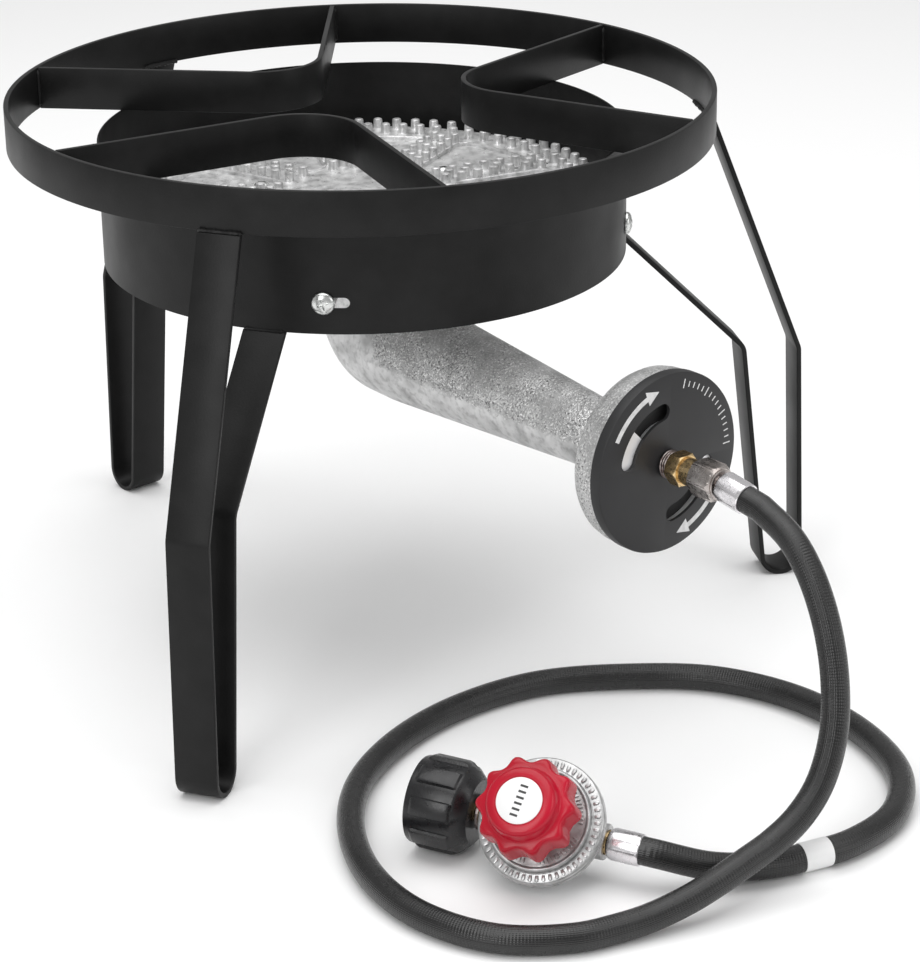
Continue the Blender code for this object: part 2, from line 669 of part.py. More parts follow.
def burner_head():
    """The cast head plate with its rim of studs, nine smooth sectors and gas ports."""
    top = HEAD_TOP
    bottom = HEAD_TOP - HEAD_THICK
    head = rod("burner_head", HEAD_RADIUS, bottom, top, 72, STAND, UPRIGHT, CAST_ALUMINIUM)
    stud = [polar(STUD_RADIUS, math.pi / 4 + math.pi / 2 * i) for i in range(4)]
    studs = bmesh.new()
    for i in range(RIM_STUDS):
        angle = 2 * math.pi * (i + 0.5) / RIM_STUDS
        place = about_z(math.degrees(angle)) @ Matrix.Translation((RIM_STUD_CIRCLE, 0, 0))
        low = [studs.verts.new(place @ Vector((x, y, top - 1 * MM))) for x, y in stud]
        high = [studs.verts.new(place @ Vector((x, y, top + STUD_HEIGHT))) for x, y in stud]
        studs.faces.new(low[::-1])
        studs.faces.new(high)
        for j in range(4):
            k = (j + 1) % 4
            studs.faces.new((low[j], low[k], high[k], high[j]))
    mesh = bpy.data.meshes.new("rim_studs")
    studs.to_mesh(mesh)
    studs.free()
    combine(head, from_mesh("rim_studs", mesh, STAND, UPRIGHT), "UNION")
    outline = panel_outline()
    for sector in range(HEAD_SECTORS):
        angle = SECTOR_START + 2 * math.pi * sector / HEAD_SECTORS
        turn = about_z(math.degrees(angle))
        panel = plate(f"panel_{sector}", outline, top - PANEL_DEPTH, top + 2 * MM, STAND, turn)
        combine(head, panel, "DIFFERENCE")
        spoke = about_z(math.degrees(angle + math.pi / HEAD_SECTORS))
        for number, radius in enumerate((76 * MM, 100 * MM, 120 * MM)):
            place = spoke @ Matrix.Translation((radius, 0, 0))
            port = rod(f"port_{sector}_{number}", 1.6 * MM, bottom - 2 * MM, top + 2 * MM, 6, STAND, place)
            combine(head, port, "DIFFERENCE")
    for number, degrees in enumerate(HEAD_SCREW_AZIMUTHS, 1):
        place = about_z(degrees) @ Matrix.Translation((HEAD_SCREW_CIRCLE, 0, 0))
        bore = rod(f"head_bore_{number}", 2.5 * MM, bottom - 2 * MM, top + 2 * MM, 10, STAND, place)
        combine(head, bore, "DIFFERENCE")
    settle(head)


def head_screws():
    seat = HEAD_TOP + GAP - PANEL_DEPTH
    profile = (
        (0, seat + 2.6 * MM), (3.4 * MM, seat + 2.0 * MM), (4.6 * MM, seat + 0.6 * MM),
        (4.6 * MM, seat), (2.0 * MM, seat), (2.0 * MM, 248 * MM), (0, 248 * MM),
    )
    for number, degrees in enumerate(HEAD_SCREW_AZIMUTHS, 1):
        place = about_z(degrees) @ Matrix.Translation((HEAD_SCREW_CIRCLE, 0, 0))
        turned_solid(f"head_screw_{number}", profile, 12, STAND, place, ZINC)


# ---- air shutter and gas fittings -------------------------------------------------------------------
def air_shutter():
    chamfer = 1.0 * MM
    inner = SHUTTER_RADIUS - SHUTTER_RIM
    sheet_back = SHUTTER_FRONT - SHUTTER_SHEET
    profile = (
        (SHUTTER_RADIUS - chamfer, SHUTTER_FRONT), (SHUTTER_RADIUS, SHUTTER_FRONT - chamfer),
        (SHUTTER_RADIUS, SHUTTER_BACK), (inner, SHUTTER_BACK), (inner, sheet_back),
        (SHUTTER_BORE, sheet_back), (SHUTTER_BORE, SHUTTER_FRONT),
    )
    shutter = lathe("air_shutter", profile, 60, STAND, MOUTH, SHUTTER_BLACK)
    for number, turn in enumerate((0, math.pi), 1):
        outline = arc_slot(SHUTTER_SLOT_CENTRE + turn)
        low, high = SHUTTER_BACK - 3 * MM, SHUTTER_FRONT + 3 * MM
        combine(shutter, plate(f"air_slot_{number}", outline, low, high, STAND, MOUTH), "DIFFERENCE")
    settle(shutter)


def orifice_fitting():
    """Brass: a shank through shutter and web, a hexagon, and a flare seat inside the nut."""
    bore = 2.4 * MM
    shank_end = FLANGE_FRONT - 14 * MM
    profile = (
        (3.0 * MM, FITTING_FRONT), (6.0 * MM, FITTING_FRONT - 3 * MM), (6.0 * MM, HEX_FRONT),
        (7.6 * MM, HEX_FRONT), (7.6 * MM, HEX_BACK), (SHANK_RADIUS, HEX_BACK),
        (SHANK_RADIUS, shank_end), (bore, shank_end), (bore, FITTING_FRONT),
    )
    fitting = lathe("orifice_fitting", profile, 20, STAND, MOUTH, BRASS)
    hexagon_ring = plate("fitting_hexagon", hexagon(HEX_FLATS), HEX_BACK, HEX_FRONT + 2 * MM, STAND, MOUTH)
    combine(hexagon_ring, rod("fitting_core", 5 * MM, HEX_BACK - 2 * MM, HEX_FRONT + 4 * MM, 20, STAND,
                              MOUTH), "DIFFERENCE")
    combine(fitting, settle(hexagon_ring), "UNION")
    settle(fitting)
    jet = (
        (1.0 * MM, shank_end - GAP), (4.2 * MM, shank_end - GAP), (4.2 * MM, shank_end - 4 * MM),
        (2.2 * MM, shank_end - 7 * MM), (0.6 * MM, shank_end - 7 * MM),
    )
    lathe("orifice_jet", jet, 12, STAND, MOUTH, BRASS)


def shutter_spring():
    low, high = SHUTTER_FRONT + GAP, HEX_BACK - GAP
    coil("shutter_spring", 7.2 * MM, 0.8 * MM, low, high, 2, STAND, MOUTH, SPRING_STEEL)


def ferrule_frame():
    """Where the burner ferrule starts, leaning down with the hose."""
    start = MOUTH @ Matrix.Translation((0, 0, FERRULE_START))
    return start @ Matrix.Rotation(FERRULE_TILT, 4, "X")


def flare_nut():
    nut = plate("flare_nut", hexagon(NUT_FLATS), NUT_BACK, NUT_FRONT, STAND, MOUTH, NICKEL)
    back = rod("nut_thread", 6.4 * MM, NUT_BACK - 2 * MM, FITTING_FRONT + 1.5 * MM, 16, STAND, MOUTH)
    front = rod("nut_mouth", 5.2 * MM, NUT_BACK, NUT_FRONT + 2 * MM, 16, STAND, MOUTH)
    combine(nut, back, "DIFFERENCE")
    combine(nut, front, "DIFFERENCE")
    settle(nut)
    stem_low, stem_high = FITTING_FRONT + 1.8 * MM, NUT_FRONT
    sleeve("hose_stem_burner", 2.4 * MM, 4.6 * MM, stem_low, stem_high, 14, STAND, MOUTH, BRASS)


def ferrule(name, parent, local):
    """An eight-sided crimped sleeve, closed at its root, whose mouth takes the hose."""
    shell = plate(name, hexagon(FERRULE_FLATS, 8), 0, FERRULE_LENGTH, parent, local, CRIMPED)
    mouth = rod(name + "_mouth", HOSE_RADIUS + 1.5 * GAP, FERRULE_LENGTH - FERRULE_MOUTH,
                FERRULE_LENGTH + 2 * MM, 16, parent, local)
    throat = rod(name + "_throat", 2.4 * MM, -2 * MM, FERRULE_LENGTH, 10, parent, local)
    combine(shell, mouth, "DIFFERENCE")
    combine(shell, throat, "DIFFERENCE")
    return settle(shell)


# ---- hose -----------------------------------------------------------------------------------------------
def spline_through(points, step):
    """Points about one step apart on a centripetal curve through all the given points."""
    dense = []
    ends = [2 * points[0] - points[1]] + points + [2 * points[-1] - points[-2]]
    for a, b, c, d in zip(ends, ends[1:], ends[2:], ends[3:]):
        t0 = 0.0
        t1 = t0 + math.sqrt((b - a).length)
        t2 = t1 + math.sqrt((c - b).length)
        t3 = t2 + math.sqrt((d - c).length)
        for i in range(20):
            t = t1 + (t2 - t1) * i / 20
            ab = a.lerp(b, (t - t0) / (t1 - t0))
            bc = b.lerp(c, (t - t1) / (t2 - t1))
            cd = c.lerp(d, (t - t2) / (t3 - t2))
            abc = ab.lerp(bc, (t - t0) / (t2 - t0))
            bcd = bc.lerp(cd, (t - t1) / (t3 - t1))
            dense.append(abc.lerp(bcd, (t - t1) / (t2 - t1)))
    dense.append(points[-1])
    lengths = [0.0]
    for before, after in zip(dense, dense[1:]):
        lengths.append(lengths[-1] + (after - before).length)
    count = round(lengths[-1] / step)
    spaced = []
    i = 0
    for k in range(count + 1):
        goal = lengths[-1] * k / count
        while i + 2 < len(dense) and lengths[i + 1] < goal:
            i += 1
        share = (goal - lengths[i]) / (lengths[i + 1] - lengths[i])
        spaced.append(dense[i].lerp(dense[i + 1], share))
    return spaced


def outlet_frame():
    """The regulator's ferrule: local z away from the valve along its x axis."""
    return Matrix.Translation((34 * MM, 0, 0)) @ Matrix.Rotation(math.radians(90), 4, "Y")


def hose_points():
    """Both ends run straight out of their ferrules before the route's own points."""
    root = FERRULE_LENGTH - FERRULE_MOUTH + GAP
    start = ferrule_frame()
    first = [start @ Vector((0, 0, root + extra * MM)) for extra in (0, 12)]
    to_stand = STAND.matrix_world.inverted() @ VALVE.matrix_world @ outlet_frame()
    last = [to_stand @ Vector((0, 0, root + extra * MM)) for extra in (8, 0)]
    middle = [Vector(point) * MM for point in HOSE_ROUTE_MM]
    return first + middle + last


def gas_hose():
    route = hose_points()
    points = route[:1] + spline_through(route[1:-1], HOSE_STEP) + route[-1:]
    wire("gas_hose", points, HOSE_RADIUS, STAND, UPRIGHT, HOSE_RUBBER)
    label = Vector(LABEL_AT)
    nearest = min(range(1, len(points) - 1), key=lambda i: (points[i] - label).length)
    heading = (points[nearest + 1] - points[nearest]).normalized()
    middle = points[nearest].lerp(points[nearest + 1], 0.5)
    place = Matrix.Translation(middle) @ heading.to_track_quat("Z", "Y").to_matrix().to_4x4()
    half = LABEL_LENGTH / 2
    sleeve("hose_label_sleeve", 7.75 * MM, 8.05 * MM, -half, half, 16, STAND, place, LABEL_WHITE)


# ---- regulator --------------------------------------------------------------------------------------------
def along_inlet():
    """Local z points out of the inlet, away from the valve."""
    return Matrix.Rotation(math.radians(-90), 4, "Y")


def regulator_body():
    """Die-cast lower half: diaphragm chamber, valve well, inlet and outlet bosses."""
    floor, seat_under = 1 * MM, -1 * MM
    rim_top = 13.6 * MM
    profile = (
        (0, floor), (19 * MM, floor), (25 * MM, 8 * MM), (26 * MM, rim_top), (RIM_RADIUS, rim_top),
        (RIM_RADIUS, 10.4 * MM), (29 * MM, 9.4 * MM), (25 * MM, 0), (18 * MM, -8 * MM),
        (13 * MM, -14 * MM), (0, -14 * MM),
    )
    body = turned_solid("regulator_body", profile, 40, VALVE, UPRIGHT, ZINC)
    inlet = along_inlet()
    outlet = Matrix.Rotation(math.radians(90), 4, "Y")
    combine(body, rod("inlet_boss", 10.5 * MM, 15 * MM, 34 * MM, 16, VALVE, inlet), "UNION")
    combine(body, rod("outlet_boss", 8.6 * MM, 15 * MM, 29.5 * MM, 16, VALVE, outlet), "UNION")
    combine(body, rod("valve_well", 5.6 * MM, -11 * MM, seat_under, 16, VALVE, UPRIGHT), "DIFFERENCE")
    combine(body, rod("valve_seat_bore", 2.4 * MM, -3 * MM, floor + 2 * MM, 10, VALVE, UPRIGHT),
            "DIFFERENCE")
    low_inlet = Matrix.Translation((0, 0, -4.5 * MM)) @ inlet
    combine(body, rod("inlet_way", 2.6 * MM, 2 * MM, 40 * MM, 10, VALVE, low_inlet), "DIFFERENCE")
    outlet_way = Matrix.Translation((0, 0, 3.6 * MM)) @ outlet
    combine(body, rod("outlet_way", 2.4 * MM, 12 * MM, 40 * MM, 10, VALVE, outlet_way), "DIFFERENCE")
    settle(body)


def regulator_bonnet():
    """Die-cast upper half: a crimped rim, a stepped face and the neck for the adjusting screw."""
    profile = (
        (13 * MM, 35 * MM), (13 * MM, 24 * MM), (15.5 * MM, 21.2 * MM), (26.5 * MM, 19.2 * MM),
        (27.5 * MM, 18.6 * MM), (28 * MM, 17.4 * MM), (RIM_RADIUS, 17.2 * MM), (RIM_RADIUS, 14.6 * MM),
        (26 * MM, 14.6 * MM), (24.5 * MM, 16.6 * MM), (13.5 * MM, 18.6 * MM), (10.4 * MM, 21 * MM),
        (10.4 * MM, 33 * MM), (4.3 * MM, 33 * MM), (4.3 * MM, 35 * MM),
    )
    lathe("regulator_bonnet", profile, 40, VALVE, UPRIGHT, ZINC)


def diaphragm_and_valve():
    rod("regulator_diaphragm", RIM_RADIUS - 0.4 * MM, 13.9 * MM, 14.3 * MM, 32, VALVE, UPRIGHT, SEAL_RUBBER)
    rod("diaphragm_plate", 10 * MM, 14.6 * MM, 15.6 * MM, 20, VALVE, UPRIGHT, ZINC)
    poppet = (
        (0, 13.6 * MM), (1.2 * MM, 13.6 * MM), (1.2 * MM, -1.3 * MM), (4.4 * MM, -1.3 * MM),
        (4.4 * MM, -3.2 * MM), (0, -3.2 * MM),
    )
    turned_solid("valve_poppet", poppet, 12, VALVE, UPRIGHT, BRASS)
    coil("valve_return_spring", 3.2 * MM, 0.4 * MM, -10.7 * MM, -3.5 * MM, 4, VALVE, UPRIGHT, SPRING_STEEL)
    coil("regulating_spring", 7.4 * MM, 0.9 * MM, 15.9 * MM, 27.0 * MM, 4, VALVE, UPRIGHT, SPRING_STEEL)
    rod("spring_seat", 9.8 * MM, 27.3 * MM, 29.3 * MM, 20, VALVE, UPRIGHT, BRASS)


def lobed(radius, depth, lobes, per_lobe):
    """A scalloped outline: wide shallow hollows between narrow tips."""
    points = []
    for i in range(lobes * per_lobe):
        angle = 2 * math.pi * i / (lobes * per_lobe)
        wave = math.sqrt(0.5 + 0.5 * math.cos(lobes * angle))
        points.append(polar(radius - depth * (1 - wave), angle))
    return points


def control_knob():
    skirt_low, skirt_high, cap_high = 33.2 * MM, 48.7 * MM, 56.7 * MM
    inner_top = 43.7 * MM
    outline = lobed(KNOB_RADIUS, 3.6 * MM, KNOB_LOBES, 8)
    knob = plate("control_knob", outline, skirt_low, skirt_high, VALVE, UPRIGHT, KNOB_RED)
    cap = (
        (0, cap_high), (16.5 * MM, cap_high), (18.4 * MM, cap_high - 2 * MM),
        (19 * MM, skirt_high - 1 * MM), (0, skirt_high - 1 * MM),
    )
    combine(knob, turned_solid("knob_cap", cap, 40, VALVE, UPRIGHT), "UNION")
    combine(knob, rod("knob_hollow", 16 * MM, skirt_low - 2 * MM, inner_top, 32, VALVE, UPRIGHT),
            "DIFFERENCE")
    settle(knob)
    rod("adjusting_screw", 4.0 * MM, 29.6 * MM, inner_top - GAP, 16, VALVE, UPRIGHT, BRASS)
    rod("knob_label", 12.1 * MM, cap_high + GAP, cap_high + GAP + 0.4 * MM, 32, VALVE, UPRIGHT, LABEL_WHITE)


def inlet_side():
    """The tank nut turns freely on the inlet nipple, held by the nipple's collar."""
    inlet = along_inlet()
    nipple = (
        (2.6 * MM, 66 * MM), (4.6 * MM, 66 * MM), (5.5 * MM, 63 * MM), (5.5 * MM, 49 * MM),
        (9.0 * MM, 48 * MM), (9.0 * MM, 44.6 * MM), (5.5 * MM, 44.6 * MM), (5.5 * MM, 34.3 * MM),
        (2.6 * MM, 34.3 * MM),
    )
    lathe("inlet_nipple", nipple, 20, VALVE, inlet, BRASS)
    ring = []
    for i in range(6):
        angle = -2 * math.pi * i / 6
        ring.append((6.9 * MM + 1.0 * MM * math.cos(angle), 57 * MM + 1.0 * MM * math.sin(angle)))
    lathe("nipple_o_ring", ring, 20, VALVE, inlet, SEAL_RUBBER)
    sleeve("nut_retaining_ring", 5.8 * MM, 9.4 * MM, 36.5 * MM, 37.9 * MM, 20, VALVE, inlet, SPRING_STEEL)
    shell = (
        (NUT_RADIUS - 1.2 * MM, NUT_MOUTH), (NUT_RADIUS, NUT_MOUTH - 1.5 * MM), (NUT_RADIUS, 46 * MM),
        (17.5 * MM, 39.5 * MM), (6.6 * MM, 39.5 * MM), (6.6 * MM, 44.0 * MM), (17.5 * MM, 44.0 * MM),
        (17.5 * MM, NUT_MOUTH),
    )
    nut = lathe("tank_nut", shell, 24, VALVE, inlet, NUT_PLASTIC)
    for i in range(NUT_RIBS):
        turn = inlet @ about_z(360 * (i + 0.5) / NUT_RIBS)
        grip = [(20 * MM, -5 * MM), (24 * MM, -5 * MM), (24.8 * MM, -2.9 * MM), (24.8 * MM, 2.9 * MM),
                (24 * MM, 5 * MM), (20 * MM, 5 * MM)]
        combine(nut, plate(f"nut_rib_{i}", grip, 48 * MM, 69.5 * MM, VALVE, turn), "UNION")
    settle(nut)


def outlet_side():
    outlet = Matrix.Rotation(math.radians(90), 4, "Y")
    sleeve("outlet_nipple", 2.4 * MM, 6.5 * MM, 29.8 * MM, 33.7 * MM, 16, VALVE, outlet, BRASS)
    ferrule("hose_ferrule_regulator", VALVE, outlet_frame())


def main():
    bpy.context.view_layer.update()
    pot_ring()
    pot_supports()
    legs()
    wind_guard()
    guard_screws()
    burner_casting()
    burner_head()
    head_screws()
    air_shutter()
    orifice_fitting()
    shutter_spring()
    flare_nut()
    ferrule("hose_ferrule_burner", STAND, ferrule_frame())
    gas_hose()
    regulator_body()
    regulator_bonnet()
    diaphragm_and_valve()
    control_knob()
    inlet_side()
    outlet_side()


main()
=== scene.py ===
"""Looks of the propane burner stand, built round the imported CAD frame.

Shapes are built in millimetres in the frame of the part they belong to and scaled to metres when
they become objects.  The stand hangs on the pot ring's axis, the mouth of the venturi on its own
axis along -Y, and the regulator on the valve's centre with z up the leaning knob.
"""

import json
import math

import bmesh
import bpy
from mathutils import Matrix, Vector


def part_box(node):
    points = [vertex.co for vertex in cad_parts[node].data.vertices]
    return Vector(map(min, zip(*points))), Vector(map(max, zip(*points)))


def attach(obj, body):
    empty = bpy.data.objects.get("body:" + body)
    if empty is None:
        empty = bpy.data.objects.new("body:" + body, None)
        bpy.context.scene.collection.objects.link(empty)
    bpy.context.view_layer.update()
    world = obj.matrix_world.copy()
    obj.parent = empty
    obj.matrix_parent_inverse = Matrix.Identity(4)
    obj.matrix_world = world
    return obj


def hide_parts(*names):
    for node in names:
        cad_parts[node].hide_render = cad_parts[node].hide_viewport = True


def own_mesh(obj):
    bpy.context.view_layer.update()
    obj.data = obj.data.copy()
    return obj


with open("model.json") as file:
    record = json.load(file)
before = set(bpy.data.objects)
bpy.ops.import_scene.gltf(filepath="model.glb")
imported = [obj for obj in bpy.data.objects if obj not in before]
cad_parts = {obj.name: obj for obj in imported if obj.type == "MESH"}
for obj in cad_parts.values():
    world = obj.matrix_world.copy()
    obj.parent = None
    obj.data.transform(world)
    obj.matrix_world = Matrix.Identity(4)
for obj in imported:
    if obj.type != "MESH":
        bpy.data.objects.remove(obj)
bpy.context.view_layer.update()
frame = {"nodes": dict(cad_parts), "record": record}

MM = 0.001
RING_LOW, RING_HIGH = (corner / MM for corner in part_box("pot_ring"))
RING_Y = (RING_LOW.y + RING_HIGH.y) / 2
RING_RADIUS = (RING_HIGH.x - RING_LOW.x) / 2
RING_BOTTOM, STAND_HEIGHT = RING_LOW.z, RING_HIGH.z
STRAP_WIDTH = RING_HIGH.z - RING_LOW.z
STRAP_THICK = 3.0
LIMB_AZIMUTHS = {"back": 90.0, "left": -150.0, "right": -30.0}

GUARD_LOW, GUARD_HIGH = (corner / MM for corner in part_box("wind_guard"))
GUARD_RADIUS = (GUARD_HIGH.x - GUARD_LOW.x) / 2
GUARD_THICK = 1.2
SCREW_AZIMUTHS = (-135.0, -45.0, 45.0, 135.0)
SCREW_HEIGHT = 251.0
SCREW_SHIFT = -2.2

TUBE_START_RADIUS = 34.0            # the venturi at the ring's axis, and how it narrows and falls
TUBE_TAPER = 0.0735
TUBE_START_Z = 180.7
TUBE_FALL = 0.0385

HEAD_RADIUS = 140.0
HEAD_TOP = 267.0
HEAD_THICK = 5.0
SECTORS = 9
SECTOR_START = 5.0
PORTS = (76.0, 100.0, 120.0)

MOUTH_Z = 171.8
SHUTTER_RADIUS = 51.2
SHUTTER_FRONT = 257.6
SHUTTER_BACK = 251.1
SHUTTER_SHEET = 2.0
SHUTTER_RIM = 2.3
FLANGE_FRONT = 250.8
FACE_RADIUS = 48.2
FACE_FRONT = SHUTTER_FRONT - SHUTTER_SHEET - 0.3
HEX_BACK, HEX_FRONT = 263.6, 272.0
NUT_BACK, NUT_FRONT = 281.0, 297.5
FERRULE_START = NUT_FRONT + 1.8
FERRULE_TILT = 9.0
FERRULE_ROOT = 16.8                 # where the hose starts inside a ferrule
HOSE_RADIUS = 7.5
HOSE_STEP = 4.0                     # between the hose's rings
HOSE_SIDES = 32
BRAID_TURNS = 24
BRAID_PITCH = 3.2

VALVE_CENTRE = Vector((-138.8, -314.4, 23.1))
OUTLET_HEADING = math.radians(-64.3)
OUTLET_DROP = math.asin(0.037)
KNOB_ELEVATION = math.radians(42.1)
RIM_RADIUS = 33.8
RIM_TEETH = 54
NUT_MOUTH = 73.2
NUT_RADIUS = 23.4
KNOB_LOW = 33.2
KNOB_LOBES = 10
LOBE_DEPTH = 3.4
KNOB_TURN = 27.6
KNOB_DASHES = 85.0

# The gas hose between its straight ends, from the ring's axis, z from the floor.
HOSE_ROUTE = (
    (-2, -351, 158.5), (-5, -369, 144), (-10, -386, 122), (-17, -399, 97), (-27, -408, 74),
    (-40, -411.5, 52), (-55, -411.5, 38.2), (-72, -410, 29.5), (-89, -408.5, 24.5),
    (-106, -406.5, 19.5), (-124, -403.5, 14.5), (-146, -397.5, 9.6), (-163, -392, 8),
    (-184, -384, 7.6), (-213, -359, 7.6), (-227, -318, 7.6), (-222, -272, 7.6),
    (-198, -224, 7.6), (-162, -187, 7.6), (-113, -163, 7.6), (-62, -155, 7.6), (-10, -163, 7.6),
    (36, -192, 7.6), (70, -227, 7.6), (87, -275, 7.6), (84, -328, 7.6), (62, -377, 7.6),
    (26, -405, 7.6), (-14, -411.7, 8.2), (-39, -407, 8.4), (-58, -400.5, 8.2), (-76, -393, 9.8),
    (-93, -384, 13.4),
)
LABEL_AT = Vector((-36, -408, 8))
LABEL_LENGTH = 16.0


def regulator_frame():
    level = Vector((math.cos(OUTLET_HEADING), math.sin(OUTLET_HEADING), 0))
    x_axis = level * math.cos(OUTLET_DROP) - Vector((0, 0, math.sin(OUTLET_DROP)))
    side = Vector((0, 0, 1)).cross(x_axis).normalized()
    up_slope = x_axis.cross(side)
    z_axis = up_slope * math.sin(KNOB_ELEVATION) - side * math.cos(KNOB_ELEVATION)
    y_axis = z_axis.cross(x_axis)
    turn = Matrix((x_axis, y_axis, z_axis)).transposed().to_4x4()
    return Matrix.Translation(VALVE_CENTRE + Vector((0, RING_Y, 0))) @ turn


def about_z(degrees):
    return Matrix.Rotation(math.radians(degrees), 4, "Z")


def about_x(degrees):
    return Matrix.Rotation(math.radians(degrees), 4, "X")


def shifted(x, y, z):
    return Matrix.Translation((x, y, z))


STAND = shifted(0, RING_Y, 0)
MOUTH = STAND @ shifted(0, 0, MOUTH_Z) @ about_x(90)
VALVE = regulator_frame()
OUTLET = VALVE @ Matrix.Rotation(math.radians(90), 4, "Y")
INLET = VALVE @ Matrix.Rotation(math.radians(-90), 4, "Y")


# ---- materials -----------------------------------------------------------------------------------
class Material:
    """A Principled material with short calls for the procedural nodes that it needs."""

    def __init__(self, name, color, roughness, metallic=0.0, **sockets):
        self.made = bpy.data.materials.new(name)
        self.made.use_nodes = True
        self.tree = self.made.node_tree
        self.shader = self.tree.nodes["Principled BSDF"]
        self.color(color)
        self.roughness(roughness)
        self.feed(self.shader, Metallic=metallic, **sockets)
        self.place = self.node("TexCoord").outputs["Object"]
        self.height = None

    def feed(self, node, **inputs):
        """Links inputs of a node to another's output, or sets them to a number or a colour."""
        for name, value in inputs.items():
            self.put(node.inputs[name.replace("_", " ")], value)

    def put(self, socket, value):
        if isinstance(value, bpy.types.NodeSocket):
            self.tree.links.new(value, socket)
        else:
            socket.default_value = (*value, 1) if socket.type == "RGBA" else value

    def node(self, kind, **inputs):
        made = self.tree.nodes.new("ShaderNode" + kind)
        self.feed(made, **inputs)
        return made

    def stretched(self, scale):
        """Object coordinates stretched along each axis."""
        return self.node("Mapping", Scale=scale, Vector=self.place).outputs["Vector"]

    def noise(self, scale, detail, source=None):
        made = self.node("TexNoise", Scale=scale, Detail=detail, Vector=source or self.place)
        return made.outputs["Fac"]

    def split(self, vector):
        return self.node("SeparateXYZ", Vector=vector).outputs

    def math(self, operation, *values):
        made = self.node("Math")
        made.operation = operation
        for socket, value in zip(made.inputs, values):
            self.put(socket, value)
        return made.outputs[0]

    def ramp(self, source, stops):
        """A colour ramp through (position, grey or colour) stops."""
        made = self.node("ValToRGB", Fac=source)
        elements = made.color_ramp.elements
        while len(elements) < len(stops):
            elements.new(0.5)
        for element, (position, value) in zip(elements, stops):
            element.position = position
            element.color = (*value, 1) if isinstance(value, tuple) else (value, value, value, 1)
        return made.outputs["Color"]

    def mixed(self, first, second, share, blend="MIX"):
        made = self.node("Mix")
        made.data_type = "RGBA"
        made.blend_type = blend
        for number, value in ((0, share), (6, first), (7, second)):
            self.put(made.inputs[number], value)
        return made.outputs[2]

    def color(self, source):
        self.feed(self.shader, Base_Color=source)

    def roughness(self, source):
        self.feed(self.shader, Roughness=source)

    def bump(self, source, distance, strength):
        """Adds a bump on top of those made before."""
        made = self.node("Bump", Strength=strength, Distance=distance, Height=source)
        if self.height:
            self.feed(made, Normal=self.height)
        self.height = made.outputs["Normal"]
        self.feed(self.shader, Normal=self.height)


def finish(name, color, roughness, metallic=0.0, tone=(), gloss=(), bumps=(), **sockets):
    """A finish made of noise.  Tone is (scale, detail, stops) for the colour, gloss is (scale,
    detail, least, most) for the roughness, and a bump is (scale, detail, distance, strength),
    with a stretch of its coordinates if any."""
    made = Material(name, color, roughness, metallic, **sockets)
    if tone:
        scale, detail, stops = tone
        made.color(made.ramp(made.noise(scale, detail), stops))
    if gloss:
        scale, detail, least, most = gloss
        made.roughness(made.ramp(made.noise(scale, detail), ((0.3, least), (0.7, most))))
    for scale, detail, distance, strength, *stretch in bumps:
        source = made.stretched(*stretch) if stretch else None
        made.bump(made.noise(scale, detail, source), distance, strength)
    return made


def sand_cast():
    """Sand-cast aluminium: salt-like grains above the mould's parting line and on the flange,
    finer towards the bowl, and a smoother stained skin below the line."""
    made = Material("sand_cast_aluminium", (0.5, 0.5, 0.5), 0.45, 0.55)
    do = made.math
    _, y, z = made.split(made.place)
    reach = do("SUBTRACT", RING_Y * MM, y)
    line = do("MULTIPLY_ADD", reach, -TUBE_FALL, TUBE_START_Z * MM)
    above = do("SUBTRACT", z, line)
    corner = do("SMOOTH_MIN", do("SUBTRACT", reach, 0.038), above, 0.03)
    inside = do("MAXIMUM", corner, do("SUBTRACT", reach, 0.224))
    wobble = do("MULTIPLY_ADD", made.noise(220, 4), 0.012, -0.006)
    edge = do("MULTIPLY_ADD", do("ADD", inside, wobble), 220.0, 0.5)
    rough = made.ramp(edge, ((0.2, 0.0), (0.8, 1.0)))
    near = do("MULTIPLY_ADD", above, -13.0, 0.78)
    far = do("MULTIPLY_ADD", reach, 3.4, -0.30)
    patch = do("MULTIPLY_ADD", made.noise(45, 4), 2.2, -1.1)
    salty = do("ADD", do("MAXIMUM", near, far), patch)
    salt = do("MULTIPLY", made.ramp(salty, ((0.1, 0.12), (0.8, 1.0))), rough)
    grain = made.noise(900, 3)
    sparks = do("MULTIPLY", made.ramp(grain, ((0.53, 0.0), (0.63, 1.0))), salt)
    gaps = do("MULTIPLY", made.ramp(made.noise(700, 3), ((0.36, 1.0), (0.46, 0.0))), salt)
    stains = made.ramp(made.noise(70, 6), ((0.30, 0.40), (0.5, 0.62), (0.7, 0.76)))
    streaks = made.ramp(made.noise(260, 5), ((0.34, 0.62), (0.5, 1.0)))
    smooth = made.mixed(stains, streaks, 0.7, "MULTIPLY")
    mottled = made.ramp(made.noise(90, 6), ((0.3, 0.34), (0.5, 0.46), (0.7, 0.56)))
    base = made.mixed(smooth, mottled, rough)
    base = made.mixed(base, (0.16, 0.16, 0.16), gaps)
    made.color(made.mixed(base, (0.95, 0.95, 0.94), sparks))
    made.roughness(made.mixed((0.46, 0.46, 0.46), (0.24, 0.24, 0.24), sparks))
    made.bump(made.noise(160, 4), 0.0005, 0.5)
    made.bump(grain, 0.0009, do("MULTIPLY_ADD", salt, 0.75, 0.08))
    return made


